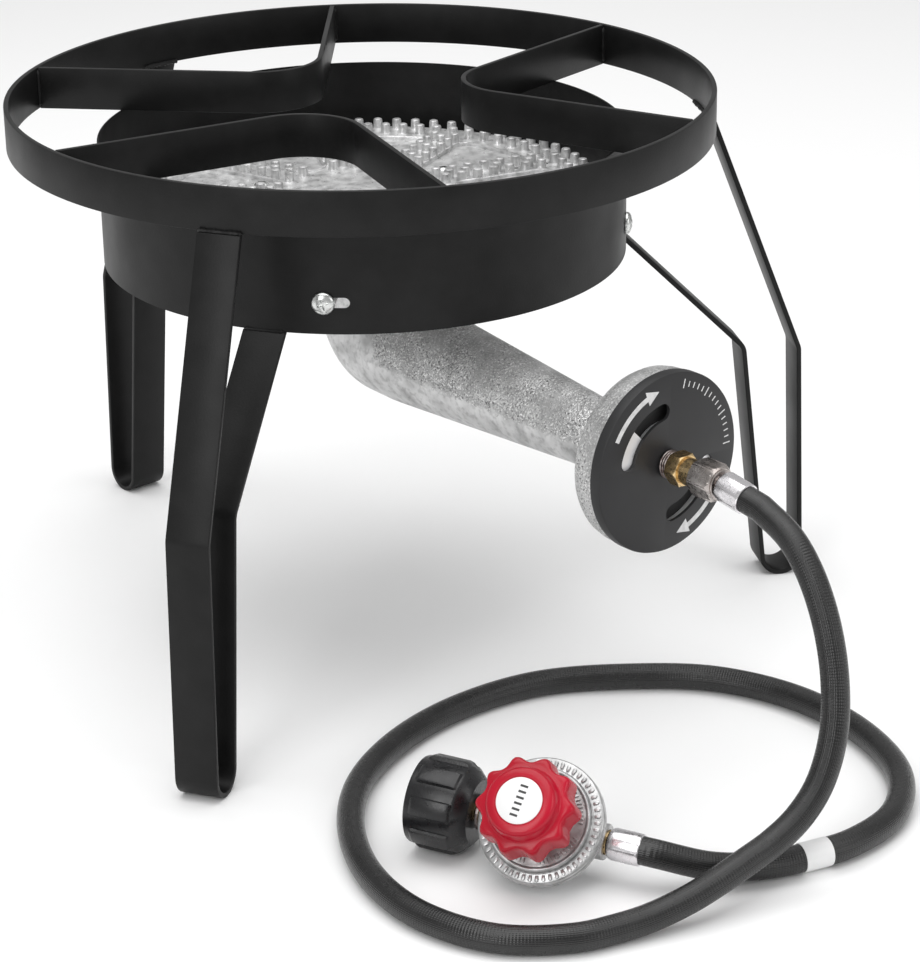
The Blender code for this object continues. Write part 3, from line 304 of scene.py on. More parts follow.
def hose_rubber():
    """Black hose cover with the fine diamonds of its braid pressing through."""
    made = finish("hose_rubber", (0.006, 0.006, 0.007), 0.26, Specular_IOR_Level=0.55,
                  tone=(90, 4, ((0.3, 0.004), (0.7, 0.009))), gloss=(400, 3, 0.18, 0.30))
    along, around, _ = made.split(made.node("TexCoord").outputs["UV"])
    waves = []
    for turns in (BRAID_TURNS, -BRAID_TURNS):
        lay = made.math("MULTIPLY", along, math.tau / BRAID_PITCH)
        phase = made.math("MULTIPLY_ADD", around, turns * math.tau, lay)
        waves.append(made.math("SINE", phase))
    made.bump(made.math("MULTIPLY", *waves), 0.00014, 0.6)
    made.bump(made.noise(1500, 2), 0.00008, 0.4)
    return made


def printed_band():
    """White film with rows of plain dark dashes in place of its print."""
    made = Material("printed_band", (0.80, 0.80, 0.80), 0.38)
    dashes = made.node("TexBrick", Vector=made.node("TexCoord").outputs["UV"], Color1=(0.03, 0.03, 0.03),
                       Color2=(0.30, 0.30, 0.30), Mortar=(0.8, 0.8, 0.8), Scale=1.0, Mortar_Size=0.35,
                       Brick_Width=3.0, Row_Height=0.055)
    made.color(dashes.outputs["Color"])
    return made


SEAL_RUBBER = finish("seal_rubber", (0.02, 0.02, 0.02), 0.6, bumps=[(900, 2, 0.00008, 0.4)])
# The flange's turned face under the shutter.
MACHINED_FACE = finish("machined_face", (0.86, 0.86, 0.87), 0.42, 0.35, gloss=(300, 3, 0.34, 0.5),
                       bumps=[(500, 2, 0.00008, 0.4, (1, 1, 4))])
PRINTED_WHITE = finish("printed_white", (0.80, 0.80, 0.80), 0.5,
                       tone=(400, 3, ((0.3, 0.56), (0.6, 0.70))))
PRINTED_BLACK = finish("printed_black", (0.03, 0.03, 0.03), 0.45, gloss=(300, 3, 0.4, 0.5))
PRINTED_BAND = printed_band()

# The finish of each of the record's slots.
SLOTS = {
    "powder_coat": finish(
        "powder_coat", (0.007, 0.007, 0.008), 0.46, Specular_IOR_Level=0.22,
        tone=(60, 4, ((0.3, 0.005), (0.7, 0.009))), gloss=(25, 3, 0.38, 0.48),
        bumps=[(900, 2, 0.00012, 0.5)]),
    "zinc_screw": finish(
        "zinc_plate", (0.66, 0.67, 0.66), 0.26, 1.0, gloss=(500, 3, 0.18, 0.36),
        bumps=[(900, 2, 0.00006, 0.4)]),
    "cast_aluminium": sand_cast(),
    "cast_head": finish(
        "head_cast", (0.68, 0.68, 0.67), 0.38, 0.55,
        tone=(160, 5, ((0.3, 0.42), (0.5, 0.68), (0.7, 0.84))), gloss=(300, 3, 0.26, 0.44),
        bumps=[(500, 4, 0.0004, 0.6)]),
    "shutter_black": finish(
        "shutter_black", (0.024, 0.024, 0.025), 0.40, Specular_IOR_Level=0.3,
        gloss=(80, 3, 0.34, 0.44), bumps=[(1200, 2, 0.00005, 0.4)]),
    "brass": finish(
        "brass", (0.72, 0.48, 0.20), 0.26, 1.0,
        tone=(70, 4, ((0.3, (0.50, 0.34, 0.16)), (0.65, (0.76, 0.57, 0.31)))),
        gloss=(400, 3, 0.20, 0.34), bumps=[(600, 2, 0.00006, 0.4, (1, 6, 1))]),
    "nickel": finish(
        "nickel", (0.52, 0.48, 0.45), 0.26, 1.0,
        tone=(80, 4, ((0.3, (0.36, 0.32, 0.30)), (0.65, (0.62, 0.58, 0.56)))),
        gloss=(350, 3, 0.20, 0.34), bumps=[(500, 2, 0.00006, 0.4)]),
    "crimped_aluminium": finish(
        "crimped_aluminium", (0.82, 0.80, 0.82), 0.22, 1.0, gloss=(300, 3, 0.16, 0.32),
        bumps=[(700, 2, 0.00006, 0.4)]),
    "spring_steel": finish(
        "spring_steel", (0.28, 0.24, 0.23), 0.28, 1.0,
        tone=(600, 3, ((0.3, (0.16, 0.11, 0.10)), (0.6, (0.34, 0.30, 0.29))))),
    "hose_rubber": hose_rubber(),
    "seal_rubber": SEAL_RUBBER,
    "die_cast_zinc": finish(
        "die_cast_zinc", (0.55, 0.56, 0.57), 0.36, 0.85, tone=(160, 5, ((0.3, 0.34), (0.6, 0.54))),
        gloss=(260, 4, 0.28, 0.46), bumps=[(420, 4, 0.00025, 0.5)]),
    "knob_red": finish(
        "knob_red", (0.46, 0.003, 0.024), 0.26, Specular_IOR_Level=0.34,
        tone=(40, 2, ((0.3, (0.36, 0.002, 0.014)), (0.7, (0.46, 0.003, 0.022)))),
        bumps=[(300, 2, 0.0001, 0.3)]),
    "nut_plastic": finish(
        "nut_plastic", (0.007, 0.007, 0.008), 0.28, Specular_IOR_Level=0.5,
        gloss=(200, 4, 0.22, 0.36), bumps=[(700, 3, 0.00012, 0.4)]),
    "label_white": finish("label_white", (0.80, 0.80, 0.80), 0.38, gloss=(300, 3, 0.32, 0.44)),
}


# ---- shapes --------------------------------------------------------------------------------------
def polar(radius, degrees):
    angle = math.radians(degrees)
    return (radius * math.cos(angle), radius * math.sin(angle))


def arc(centre, radius, start, end, steps):
    """Points along an arc in degrees, both ends included."""
    points = []
    for i in range(steps + 1):
        x, y = polar(radius, start + (end - start) * i / steps)
        points.append((centre[0] + x, centre[1] + y))
    return points


def ring(sides, radius, z):
    """A closed ring of points at one height; the radius is a number or a function of the angle."""
    angles = [360 * i / sides for i in range(sides)]
    return [(*polar(radius(angle) if callable(radius) else radius, angle), z) for angle in angles]


def sleeve(outer, inner, low, high):
    """The profile of a plain tube."""
    return ((outer, high), (outer, low), (inner, low), (inner, high))


def bar(start, end, half_width):
    """A rectangle's outline, long along x."""
    return [(start, -half_width), (end, -half_width), (end, half_width), (start, half_width)]


def placed(name, data):
    obj = bpy.data.objects.new(name, data)
    bpy.context.scene.collection.objects.link(obj)
    return obj


class Piece:
    """Gathers closed shells in millimetres and becomes one object."""

    def __init__(self, name):
        self.name = name
        self.work = bmesh.new()

    def points(self, place, coordinates):
        return [self.work.verts.new(place @ Vector(co)) for co in coordinates]

    def face(self, corners):
        made = self.work.faces.new(corners)
        made.smooth = True
        return made

    def skin(self, rows, capped=True, joined=False):
        """Faces between rows of points; the last row joins the first when joined."""
        pairs = list(zip(rows, rows[1:]))
        if joined:
            pairs.append((rows[-1], rows[0]))
        count = len(rows[0])
        for row, following in pairs:
            for i in range(count):
                j = (i + 1) % count
                corners = []
                for vertex in (row[i], row[j], following[j], following[i]):
                    if vertex not in corners:
                        corners.append(vertex)
                if len(corners) > 2:
                    self.face(corners)
        if capped and not joined:
            self.face(rows[0][::-1])
            self.face(rows[-1])

    def lathe(self, place, profile, steps):
        """Turns (radius, z) points about z; ends on the axis close by themselves."""
        rows = []
        closed = profile[0][0] > 0 or profile[-1][0] > 0
        for radius, z in profile:
            if radius == 0:
                rows.append(self.points(place, [(0, 0, z)]) * steps)
            else:
                rows.append(self.points(place, ring(steps, radius, z)))
        self.skin(rows, capped=False, joined=closed)

    def prism(self, place, outline, low, high):
        bottom = self.points(place, [(x, y, low) for x, y in outline])
        top = self.points(place, [(x, y, high) for x, y in outline])
        self.skin([bottom, top])

    def tube(self, place, path, radius, sides=8, joined=False):
        """A round bar along a path of points."""
        path = [Vector(point) for point in path]
        rows = []
        normal = None
        for i, point in enumerate(path):
            if joined:
                ahead = path[(i + 1) % len(path)] - path[i - 1]
            else:
                ahead = path[min(i + 1, len(path) - 1)] - path[max(i - 1, 0)]
            ahead.normalize()
            if normal is None:
                normal = ahead.orthogonal()
            normal = (normal - ahead * normal.dot(ahead)).normalized()
            other = ahead.cross(normal)
            around = [point + normal * x + other * y for x, y, _ in ring(sides, radius, 0)]
            rows.append(self.points(place, around))
        self.skin(rows, joined=joined)

    def done(self, slot, body="root", stands_for=(), paint=None, bevel=0.0, segments=2, sharp=40.0):
        """The finished object: its slot also gives its finish, unless it is painted otherwise."""
        bmesh.ops.recalc_face_normals(self.work, faces=self.work.faces)
        mesh = bpy.data.meshes.new(self.name)
        self.work.to_mesh(mesh)
        self.work.free()
        mesh.materials.append((paint or SLOTS[slot]).made)
        obj = placed(self.name, mesh)
        if bevel:
            step = obj.modifiers.new("bevel", "BEVEL")
            step.width = bevel
            step.segments = segments
            step.limit_method = "ANGLE"
            step.angle_limit = math.radians(30)
            step.use_clamp_overlap = True
            apply_modifiers(obj)
        obj.data.transform(Matrix.Scale(MM, 4))
        obj.data.shade_smooth()
        obj.data.set_sharp_from_angle(angle=math.radians(sharp))
        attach(obj, body)
        if stands_for:
            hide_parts(*stands_for)
        return obj


def apply_modifiers(obj):
    bpy.context.view_layer.update()
    graph = bpy.context.evaluated_depsgraph_get()
    mesh = bpy.data.meshes.new_from_object(obj.evaluated_get(graph))
    old = obj.data
    obj.modifiers.clear()
    obj.data = mesh
    bpy.data.meshes.remove(old)


def carved(piece, cutter):
    """The first piece's mesh less the second's, back in the first piece."""
    objects = []
    for source in (piece, cutter):
        bmesh.ops.recalc_face_normals(source.work, faces=source.work.faces)
        mesh = bpy.data.meshes.new("carving")
        source.work.to_mesh(mesh)
        objects.append(placed("carving", mesh))
    step = objects[0].modifiers.new("cut", "BOOLEAN")
    step.object = objects[1]
    step.operation = "DIFFERENCE"
    step.solver = "EXACT"
    step.use_self = True
    apply_modifiers(objects[0])
    piece.work.clear()
    piece.work.from_mesh(objects[0].data)
    cutter.work.free()
    for obj in objects:
        mesh = obj.data
        bpy.data.objects.remove(obj)
        bpy.data.meshes.remove(mesh)


def rounded_path(points, radius, steps):
    """A polyline of 2D points whose inner corners are arcs of one radius."""
    path = [Vector(points[0])]
    for before, corner, after in zip(points, points[1:], points[2:]):
        corner = Vector(corner)
        back = (Vector(before) - corner).normalized()
        ahead = (Vector(after) - corner).normalized()
        half = back.angle(ahead) / 2
        centre = corner + (back + ahead).normalized() * radius / math.sin(half)
        start = corner + back * radius / math.tan(half) - centre
        sweep = (corner + ahead * radius / math.tan(half) - centre).angle_signed(start)
        for i in range(steps + 1):
            path.append(centre + Matrix.Rotation(sweep * i / steps, 2) @ start)
    path.append(Vector(points[-1]))
    return path


def stadium(half_length, half_height, steps=10):
    straight = half_length - half_height
    right = arc((straight, 0), half_height, -90, 90, steps)
    left = arc((-straight, 0), half_height, 90, 270, steps)
    return right + left


def radial_frame(azimuth, height):
    """Local z outwards at an azimuth in degrees, local x along the rim, local y up."""
    outward = Vector((*polar(1, azimuth), 0))
    along = Vector((*polar(1, azimuth + 90), 0))
    turn = Matrix((along, Vector((0, 0, 1)), outward)).transposed().to_4x4()
    return STAND @ shifted(0, 0, height) @ turn


# ---- stand ---------------------------------------------------------------------------------------
def pot_ring():
    hoop = Piece("ring_of_flat_bar")
    profile = sleeve(RING_RADIUS, RING_RADIUS - STRAP_THICK, RING_BOTTOM, STAND_HEIGHT)
    hoop.lathe(STAND, profile, 192)
    hoop.done("powder_coat", stands_for=["pot_ring"], bevel=0.5)


SUPPORT_APEX = 61.0
SUPPORT_BEND = 36.0
SUPPORT_SPREAD = 41.5


def reach_circle(start, direction, radius):
    along = start.dot(direction)
    return start + direction * (-along + math.sqrt(along * along + radius * radius - start.dot(start)))


def support_sides():
    """Both faces of a bent support seen from above, each from one tip round the bend to the other."""
    centre = (SUPPORT_APEX + SUPPORT_BEND, 0)
    half_turn = 90 - SUPPORT_SPREAD
    arm = Vector(polar(1, SUPPORT_SPREAD))
    sides = []
    for offset in (STRAP_THICK / 2, -STRAP_THICK / 2):
        bend = arc(centre, SUPPORT_BEND + offset, 180 - half_turn, 180 + half_turn, 28)
        tip = reach_circle(Vector(bend[0]), arm, RING_RADIUS - STRAP_THICK - 0.3)
        sides.append([tuple(tip)] + bend + [(tip.x, -tip.y)])
    return sides


def pot_supports():
    sides = support_sides()
    for name, azimuth in LIMB_AZIMUTHS.items():
        place = STAND @ about_z(azimuth)
        support = Piece("bent_support_" + name)
        support.prism(place, sides[0] + sides[1][::-1], RING_BOTTOM, STAND_HEIGHT)
        support.done("powder_coat", stands_for=["pot_support_" + name], bevel=0.5)
        welds = Piece("support_welds_" + name)
        for side in sides:
            for tip in (side[0], side[-1]):
                weld_bead(welds, place, (*tip, RING_BOTTOM + 1.5), (*tip, STAND_HEIGHT - 1.5), 1.5)
        welds.done("powder_coat")


def weld_bead(piece, place, start, end, radius):
    """A ropy bead of weld metal with round ends."""
    start, end = Vector(start), Vector(end)
    length = (end - start).length
    count = max(6, round(length / 1.2))
    along = (end - start).normalized()
    normal = along.orthogonal().normalized()
    other = along.cross(normal)
    rows = []
    for i in range(count + 1):
        share = i / count
        edge = min(share, 1 - share) * length / radius
        swell = math.sqrt(max(0.0, 1 - (1 - min(1.0, edge)) ** 2))
        ripple = 1 + 0.13 * math.sin(share * length * 2.1) + 0.08 * math.sin(share * length * 0.7 + 1)
        around = ring(8, max(0.05, swell * ripple) * radius, 0)
        centre = start.lerp(end, share)
        rows.append(piece.points(place, [centre + normal * x + other * y for x, y, _ in around]))
    piece.skin(rows)


LEG_TOP = (206.5, RING_BOTTOM - 0.3)
LEG_KNEE_OUT = (265.3, 151.6)
LEG_FOOT_RADIUS = 269.8
LEG_KNEE_IN = (230.3, 154.9)
LEG_END_IN = (152.5, GUARD_LOW.z - 0.3)
FOOT_BEND = 12.1


def leg_path():
    """The strap's centre line in the leg's own plane: x outwards, y up."""
    foot_z = FOOT_BEND + STRAP_THICK / 2
    outer = rounded_path((LEG_TOP, LEG_KNEE_OUT, (LEG_FOOT_RADIUS, foot_z)), 10, 6)
    foot = arc((LEG_FOOT_RADIUS - FOOT_BEND, foot_z), FOOT_BEND, 0, -180, 24)
    inner_foot = (LEG_FOOT_RADIUS - 2 * FOOT_BEND, foot_z)
    inner = rounded_path((inner_foot, LEG_KNEE_IN, LEG_END_IN), 10, 6)
    return outer[:-1] + [Vector(point) for point in foot] + inner[1:]


def strap_outline(path, cut_low, cut_high):
    """Offsets a path both ways by half the strap; both ends are cut level."""
    sides = []
    for offset in (STRAP_THICK / 2, -STRAP_THICK / 2):
        side = []
        for i, point in enumerate(path):
            ahead = (path[i + 1] - point).normalized() if i + 1 < len(path) else None
            behind = (point - path[i - 1]).normalized() if i else None
            run = ((ahead or behind) + (behind or ahead)).normalized()
            normal = Vector((-run.y, run.x))
            if ahead is None or behind is None:
                end = point + normal * offset
                level = cut_high if i else cut_low
                side.append(end + run * ((level - end.y) / run.y))
            else:
                side.append(point + normal * offset / max(0.5, run.dot(ahead)))
        sides.append([tuple(point) for point in side])
    return sides[0] + sides[1][::-1]


def legs():
    outline = strap_outline(leg_path(), LEG_TOP[1], LEG_END_IN[1])
    half = STRAP_WIDTH / 2
    for name, azimuth in LIMB_AZIMUTHS.items():
        place = STAND @ about_z(azimuth) @ about_x(90)
        leg = Piece("hairpin_leg_" + name)
        leg.prism(place, outline, -half, half)
        leg.done("powder_coat", stands_for=["leg_" + name], bevel=0.5)
        welds = Piece("leg_welds_" + name)
        upright = STAND @ about_z(azimuth)
        ring_z = RING_BOTTOM + 0.2
        for x in (RING_RADIUS + 0.1, RING_RADIUS - STRAP_THICK - 0.1):
            weld_bead(welds, upright, (x, -half - 0.3, ring_z), (x, half + 0.3, ring_z), 1.4)
        for x in (LEG_END_IN[0] - 2.8, GUARD_RADIUS - 0.2):
            weld_bead(welds, upright, (x, -half + 0.5, GUARD_LOW.z), (x, half - 0.5, GUARD_LOW.z), 1.1)
        welds.done("powder_coat")


def wind_guard():
    guard = Piece("guard_drum")
    profile = sleeve(GUARD_RADIUS, GUARD_RADIUS - GUARD_THICK, GUARD_LOW.z, GUARD_HIGH.z)
    guard.lathe(STAND, profile, 180)
    slots = Piece("guard_slots")
    for azimuth in SCREW_AZIMUTHS:
        place = radial_frame(azimuth, SCREW_HEIGHT)
        slots.prism(place, stadium(8.6, 3.1), GUARD_RADIUS - 8, GUARD_RADIUS + 8)
    carved(guard, slots)
    guard.done("powder_coat", stands_for=["wind_guard"], bevel=0.2, segments=1, sharp=35)


def cross_recess(place, reach, width, low, high):
    """The cutter of a cross-head recess."""
    cutter = Piece("recess")
    for turn in (0, 90):
        cutter.prism(place @ about_z(turn), bar(-reach, reach, width), low, high)
        low += 0.01
    return cutter


def pan_profile(radius, seat, edge, rise, length, step):
    """A pan head on a plain shank of radius 2, from the top of its dome."""
    dome = []
    for angle in range(0, 91, step):
        height, reach = polar(1, angle)
        dome.append((radius * reach, seat + edge + rise * height))
    return dome + [(radius, seat), (2.0, seat), (2.0, seat - length), (0, seat - length)]


def guard_screws():
    """Pan-head screws with a cross recess, through the guard into the lugs."""
    seat = GUARD_RADIUS + 0.3
    profile = pan_profile(6.5, seat, 0.7, 3.0, 13, 10)
    for number, azimuth in enumerate(SCREW_AZIMUTHS, 1):
        place = radial_frame(azimuth + SCREW_SHIFT, SCREW_HEIGHT)
        screw = Piece(f"pan_screw_{number}")
        screw.lathe(place, profile, 32)
        carved(screw, cross_recess(place @ about_z(20 * number), 3.2, 0.6, seat + 1.4, seat + 6))
        screw.done("zinc_screw", stands_for=[f"guard_screw_{number}"], sharp=35)


# ---- burner --------------------------------------------------------------------------------------
ELBOW_PIVOT = Vector((-43.0, 210.5))
NECK_BACK = 29.5
NECK_HALF_WIDTH = 29.5
ELBOW_OUTER_BEND = 50.0
PARTING_STEP = 0.9


def tube_radius(reach):
    return TUBE_START_RADIUS - TUBE_TAPER * reach


def tube_height(reach):
    return TUBE_START_Z - TUBE_FALL * reach


def elbow_outer_distance(direction):
    """From the elbow's inside corner to its outer skin along a (y, z) direction."""
    bottom = tube_height(-ELBOW_PIVOT.x) - tube_radius(-ELBOW_PIVOT.x)
    centre = Vector((NECK_BACK - ELBOW_OUTER_BEND, bottom + ELBOW_OUTER_BEND))
    offset = ELBOW_PIVOT - centre
    along = offset.dot(direction)
    to_arc = -along + math.sqrt(along * along - offset.dot(offset) + ELBOW_OUTER_BEND ** 2)
    hit = ELBOW_PIVOT + direction * to_arc
    if hit.y > centre.y:
        return (NECK_BACK - ELBOW_PIVOT.x) / direction.x
    if hit.x < centre.x:
        return (bottom - ELBOW_PIVOT.y) / direction.y
    return to_arc


def casting_rings():
    """(centre, up-section direction, half height, half width) from the bowl to the flange."""
    rings = []
    corner = 1.0
    turns = 18
    for i in range(turns + 1):
        direction = Vector(polar(1, -90 * i / turns))
        outer = elbow_outer_distance(direction)
        middle = ELBOW_PIVOT + direction * (outer + corner) / 2
        side = NECK_HALF_WIDTH + (tube_radius(-ELBOW_PIVOT.x) - NECK_HALF_WIDTH) * i / turns
        rings.append((Vector((0, middle.x, middle.y)), Vector((0, direction.x, direction.y)),
                      (outer - corner) / 2, side))
    first = rings[0]
    rings.insert(0, (Vector((0, first[0].y, 236)), first[1], first[2], first[3]))
    down = Vector((0, 0, -1))
    for i in range(1, 24):
        reach = 43 + (208 - 43) * i / 23
        radius = tube_radius(reach)
        rings.append((Vector((0, -reach, tube_height(reach))), down, radius, radius))
    # (reach, radius) where the tube opens into the flange
    flare = ((212, 18.8), (216, 19.6), (220, 21.8), (224, 26), (227, 31.5), (229.5, 38), (232, 43.8),
             (235, 47.6), (238.5, 49.6), (242, 50.3), (246, 50.5), (FLANGE_FRONT, 50.5))
    for reach, radius in flare:
        rings.append((Vector((0, -reach, MOUTH_Z)), down, radius, radius))
    return rings


def burner_casting():
    """The bowl, lugs, elbow, venturi and mouth flange; the lower half stands proud of the
    mould's parting line."""
    casting = Piece("burner_sand_casting")
    sides = 72
    rings = casting_rings()
    rows = []
    for number, (centre, direction, half_height, half_width) in enumerate(rings):
        row = []
        blend = min(1.0, max(0.0, (number - 14) / 6))
        flat = min(1.0, max(0.0, (-centre.y - 222) / 12))
        for i in range(sides):
            angle = 360 * i / sides
            lower = 1.0 if angle < 90 or angle >= 270 else 0.0
            proud = PARTING_STEP * lower * blend * (1 - flat)
            x, y = polar(1, angle)
            offset = direction * (half_height + proud) * x
            row.append(centre + offset + Vector(((half_width + proud) * y, 0, 0)))
        rows.append(casting.points(STAND, row))
    casting.skin(rows)
    for azimuth in SCREW_AZIMUTHS:
        place = radial_frame(azimuth + SCREW_SHIFT, SCREW_HEIGHT)
        casting.prism(place, stadium(6, 6), 133, GUARD_RADIUS - GUARD_THICK - 0.8)
    bowl = ((0, 262.4), (139.5, 261.7), (139.5, 255), (137, 251), (132, 247), (122, 243.2), (112, 240),
            (96, 237), (80, 235), (60, 233.4), (40, 232), (0, 232))
    casting.lathe(STAND, bowl, 96)
    casting.done("cast_aluminium", stands_for=["burner_casting"], sharp=50)


def panel_outline(grow=0.0):
    """A smooth sector between two spokes of studs: a triangle with rounded corners, about +X."""
    half = 180 / SECTORS
    margin = 10.0 - grow
    nose = 13.0
    nose_centre = ((margin + nose) / math.sin(math.radians(half)), 0)
    points = arc(nose_centre, nose, 90 + half, 270 - half, 10)
    rim = 115.0 + grow
    corner = 6.0
    low = half - math.degrees(math.asin((margin + corner) / (rim - corner)))
    lower = arc(polar(rim - corner, -low), corner, -90 - half, -low, 6)
    outer = [polar(rim, low * t / 4) for t in range(-3, 4)]
    upper = arc(polar(rim - corner, low), corner, low, 90 + half, 6)
    return points + lower + outer + upper


def stud(piece, place):
    """A short cast pin with a flat top and soft edges, a little wider at its foot."""
    height, radius = 5.9, 3.0
    profile = ((0, height), (radius * 0.62, height - 0.05), (radius * 0.86, height - 0.4),
               (radius * 0.95, height - 1.2), (radius, 0.7), (radius * 1.2, -0.2), (0, -0.2))
    piece.lathe(place, profile, 12)


def burner_head():
    head = Piece("head_plate")
    bottom = HEAD_TOP - HEAD_THICK
    profile = ((0, HEAD_TOP), (HEAD_RADIUS - 0.8, HEAD_TOP), (HEAD_RADIUS, HEAD_TOP - 0.8),
               (HEAD_RADIUS, bottom), (0, bottom))
    head.lathe(STAND, profile, 144)
    panels = Piece("panels")
    for sector in range(SECTORS):
        place = STAND @ about_z(SECTOR_START + 360 * sector / SECTORS)
        panels.prism(place, panel_outline(), HEAD_TOP - 1.5, HEAD_TOP + 2)
        for port in PORTS:
            hole = arc((port, 0), 1.6, 0, 330, 11)
            panels.prism(place @ about_z(180 / SECTORS), hole, bottom - 2, HEAD_TOP + 2)
    carved(head, panels)
    for sector in range(SECTORS):
        azimuth = SECTOR_START + 360 * sector / SECTORS
        border = [(x, y, HEAD_TOP + 0.1) for x, y in panel_outline(0.6)]
        head.tube(STAND @ about_z(azimuth), border, 0.8, 6, joined=True)
        spoke = STAND @ about_z(azimuth + 180 / SECTORS)
        for row in range(14):
            radius = 50 + 5.3 * row
            if row % 2 and min(abs(radius - port) for port in PORTS) > 4:
                stud(head, spoke @ shifted(radius, 0, HEAD_TOP))
            elif row % 2 == 0:
                for side in (-6.8, 6.8):
                    stud(head, spoke @ shifted(radius, side, HEAD_TOP))
    for i in range(72):
        stud(head, STAND @ about_z(5 * (i + 0.5)) @ shifted(137, 0, HEAD_TOP))
        stud(head, STAND @ about_z(5 * i) @ shifted(126, 0, HEAD_TOP))
    head.done("cast_head", stands_for=["burner_head"], sharp=45)


def head_screws():
    for number, azimuth in enumerate((3.0, 123.0, 243.0), 1):
        place = STAND @ about_z(azimuth) @ shifted(64, 0, HEAD_TOP - 1.2)
        screw = Piece(f"head_fixing_{number}")
        screw.lathe(place, pan_profile(4.6, 0, 0.4, 2.2, 17, 15), 28)
        carved(screw, cross_recess(place, 2.4, 0.5, 1.0, 5))
        screw.done("zinc_screw", stands_for=[f"head_screw_{number}"], sharp=35)


# ---- shutter and fittings ------------------------------------------------------------------------
def arc_slot(centre_angle):
    """A curved slot with round ends."""
    low, high = centre_angle - 33.5, centre_angle + 33.5
    width = 4.9
    circle = 30.5
    outer = arc((0, 0), circle + width, low, high, 24)
    end = arc(polar(circle, high), width, high, high + 180, 10)
    inner = arc((0, 0), circle - width, high, low, 24)
    start = arc(polar(circle, low), width, low - 180, low, 10)
    return outer + end[1:-1] + inner + start[1:-1]


def air_shutter():
    shutter = Piece("shutter_disc")
    bore = 6.3
    inner = SHUTTER_RADIUS - SHUTTER_RIM
    sheet_back = SHUTTER_FRONT - SHUTTER_SHEET
    profile = ((SHUTTER_RADIUS - 1.0, SHUTTER_FRONT), (SHUTTER_RADIUS - 0.3, SHUTTER_FRONT - 0.3),
               (SHUTTER_RADIUS, SHUTTER_FRONT - 1.0), (SHUTTER_RADIUS, SHUTTER_BACK), (inner, SHUTTER_BACK),
               (inner, sheet_back), (bore, sheet_back), (bore, SHUTTER_FRONT))
    shutter.lathe(MOUTH, profile, 144)
    slots = Piece("slots")
    for turn in (131, 311):
        slots.prism(MOUTH, arc_slot(turn), SHUTTER_BACK - 3, SHUTTER_FRONT + 3)
    carved(shutter, slots)
    shutter.done("shutter_black", "air_shutter", ["air_shutter"], bevel=0.25, sharp=35)

    marks = Piece("shutter_marks")
    low, high = SHUTTER_FRONT - 0.05, SHUTTER_FRONT + 0.08
    for turn in (0, 180):
        place = MOUTH @ about_z(turn)
        shaft = arc((0, 0), 45.2, 150, 111, 20) + arc((0, 0), 42.2, 111, 150, 20)
        marks.prism(place, shaft, low, high)
        tip = [polar(48.2, 111), polar(43.7, 99.5), polar(39.3, 111)]
        marks.prism(place, tip, low, high + 0.01)
    for i in range(16):
        half = 2.6 if i % 5 == 0 else 1.6
        strip = bar(44.5 - half, 44.5 + half, 0.35)
        marks.prism(MOUTH @ about_z(75 - 5 * i), strip, low, high)
    marks.done("label_white", "air_shutter", paint=PRINTED_WHITE)


def flange_face():
    """The flange's raised, turned face with its two air windows, seen through the shutter's slots, and a
    black disc of painted shade behind them.
    """
    face = Piece("flange_face")
    back = FACE_FRONT - 4.6
    profile = ((FACE_RADIUS - 0.4, FACE_FRONT), (FACE_RADIUS, FACE_FRONT - 0.4), (FACE_RADIUS, back),
               (5.0, back), (5.0, FACE_FRONT))
    face.lathe(MOUTH, profile, 120)
    windows = Piece("windows")
    for turn in (98, 278):
        sector = arc((0, 0), 37.5, turn - 36.5, turn + 36.5, 24)
        sector += arc((0, 0), 22.5, turn + 36.5, turn - 36.5, 24)
        windows.prism(MOUTH, sector, back - 2, FACE_FRONT + 2)
    carved(face, windows)
    face.done("cast_aluminium", sharp=35, paint=MACHINED_FACE)
    # Painted shade: a black disc across the throat stands for the dark inside of the venturi, seen through
    # the windows.
    throat_shade = Piece("painted_shade_disc")
    top = FLANGE_FRONT + 0.1
    throat_shade.lathe(MOUTH, ((0, top), (46.5, top), (46.5, top - 1.1), (0, top - 1.1)), 64)
    throat_shade.done("cast_aluminium", paint=SEAL_RUBBER)


def shutter_spring():
    spring = Piece("spring_coil")
    low, high = SHUTTER_FRONT + 0.9, HEX_BACK - 0.9
    turns = 2.6
    path = []
    for i in range(round(turns * 32) + 1):
        share = i / round(turns * 32)
        path.append((*polar(7.4, 360 * turns * share), low + (high - low) * share))
    spring.tube(MOUTH, path, 0.8, 10)
    spring.done("spring_steel", stands_for=["shutter_spring"])


def hexagon_bar(piece, place, flats, low, high, bore, chamfer):
    """A hexagon with turned chamfers at both ends and a plain bore."""
    reach = flats / 2 / math.cos(math.radians(30))
    sides = 96
    fall = (0.0, 0.15, 0.4, 0.7, 1.0)
    levels = [(low + chamfer * share, reach - 1.7 * chamfer * (1 - share)) for share in fall]
    levels += [(high - chamfer * share, reach - 1.7 * chamfer * (1 - share)) for share in fall[::-1]]
    rings = [ring(sides, bore, low)]
    for z, limit in levels:
        def skin(angle):
            return min(flats / 2 / math.cos(math.radians(angle % 60 - 30)), limit)
        rings.append(ring(sides, skin, z))
    rings.append(ring(sides, bore, high))
    piece.skin([piece.points(place, row) for row in rings], joined=True)


def orifice_fitting():
    fitting = Piece("brass_fitting")
    hexagon_bar(fitting, MOUTH, 17.0, HEX_BACK, HEX_FRONT, 4.0, 0.8)
    fitting.lathe(MOUTH, ((3.0, 289), (6.0, 286), (6.0, HEX_FRONT - 1), (3.0, HEX_FRONT - 1)), 40)
    fitting.lathe(MOUTH, sleeve(7.6, 5.5, HEX_FRONT - 0.5, NUT_BACK + 0.2), 48)
    fitting.lathe(MOUTH, sleeve(4.7, 2.4, 236.8, HEX_BACK + 1), 32)
    fitting.lathe(MOUTH, sleeve(6.0, 4.0, SHUTTER_FRONT + 1.5, HEX_BACK + 0.5), 32)
    fitting.done("brass", stands_for=["orifice_fitting"], sharp=28)


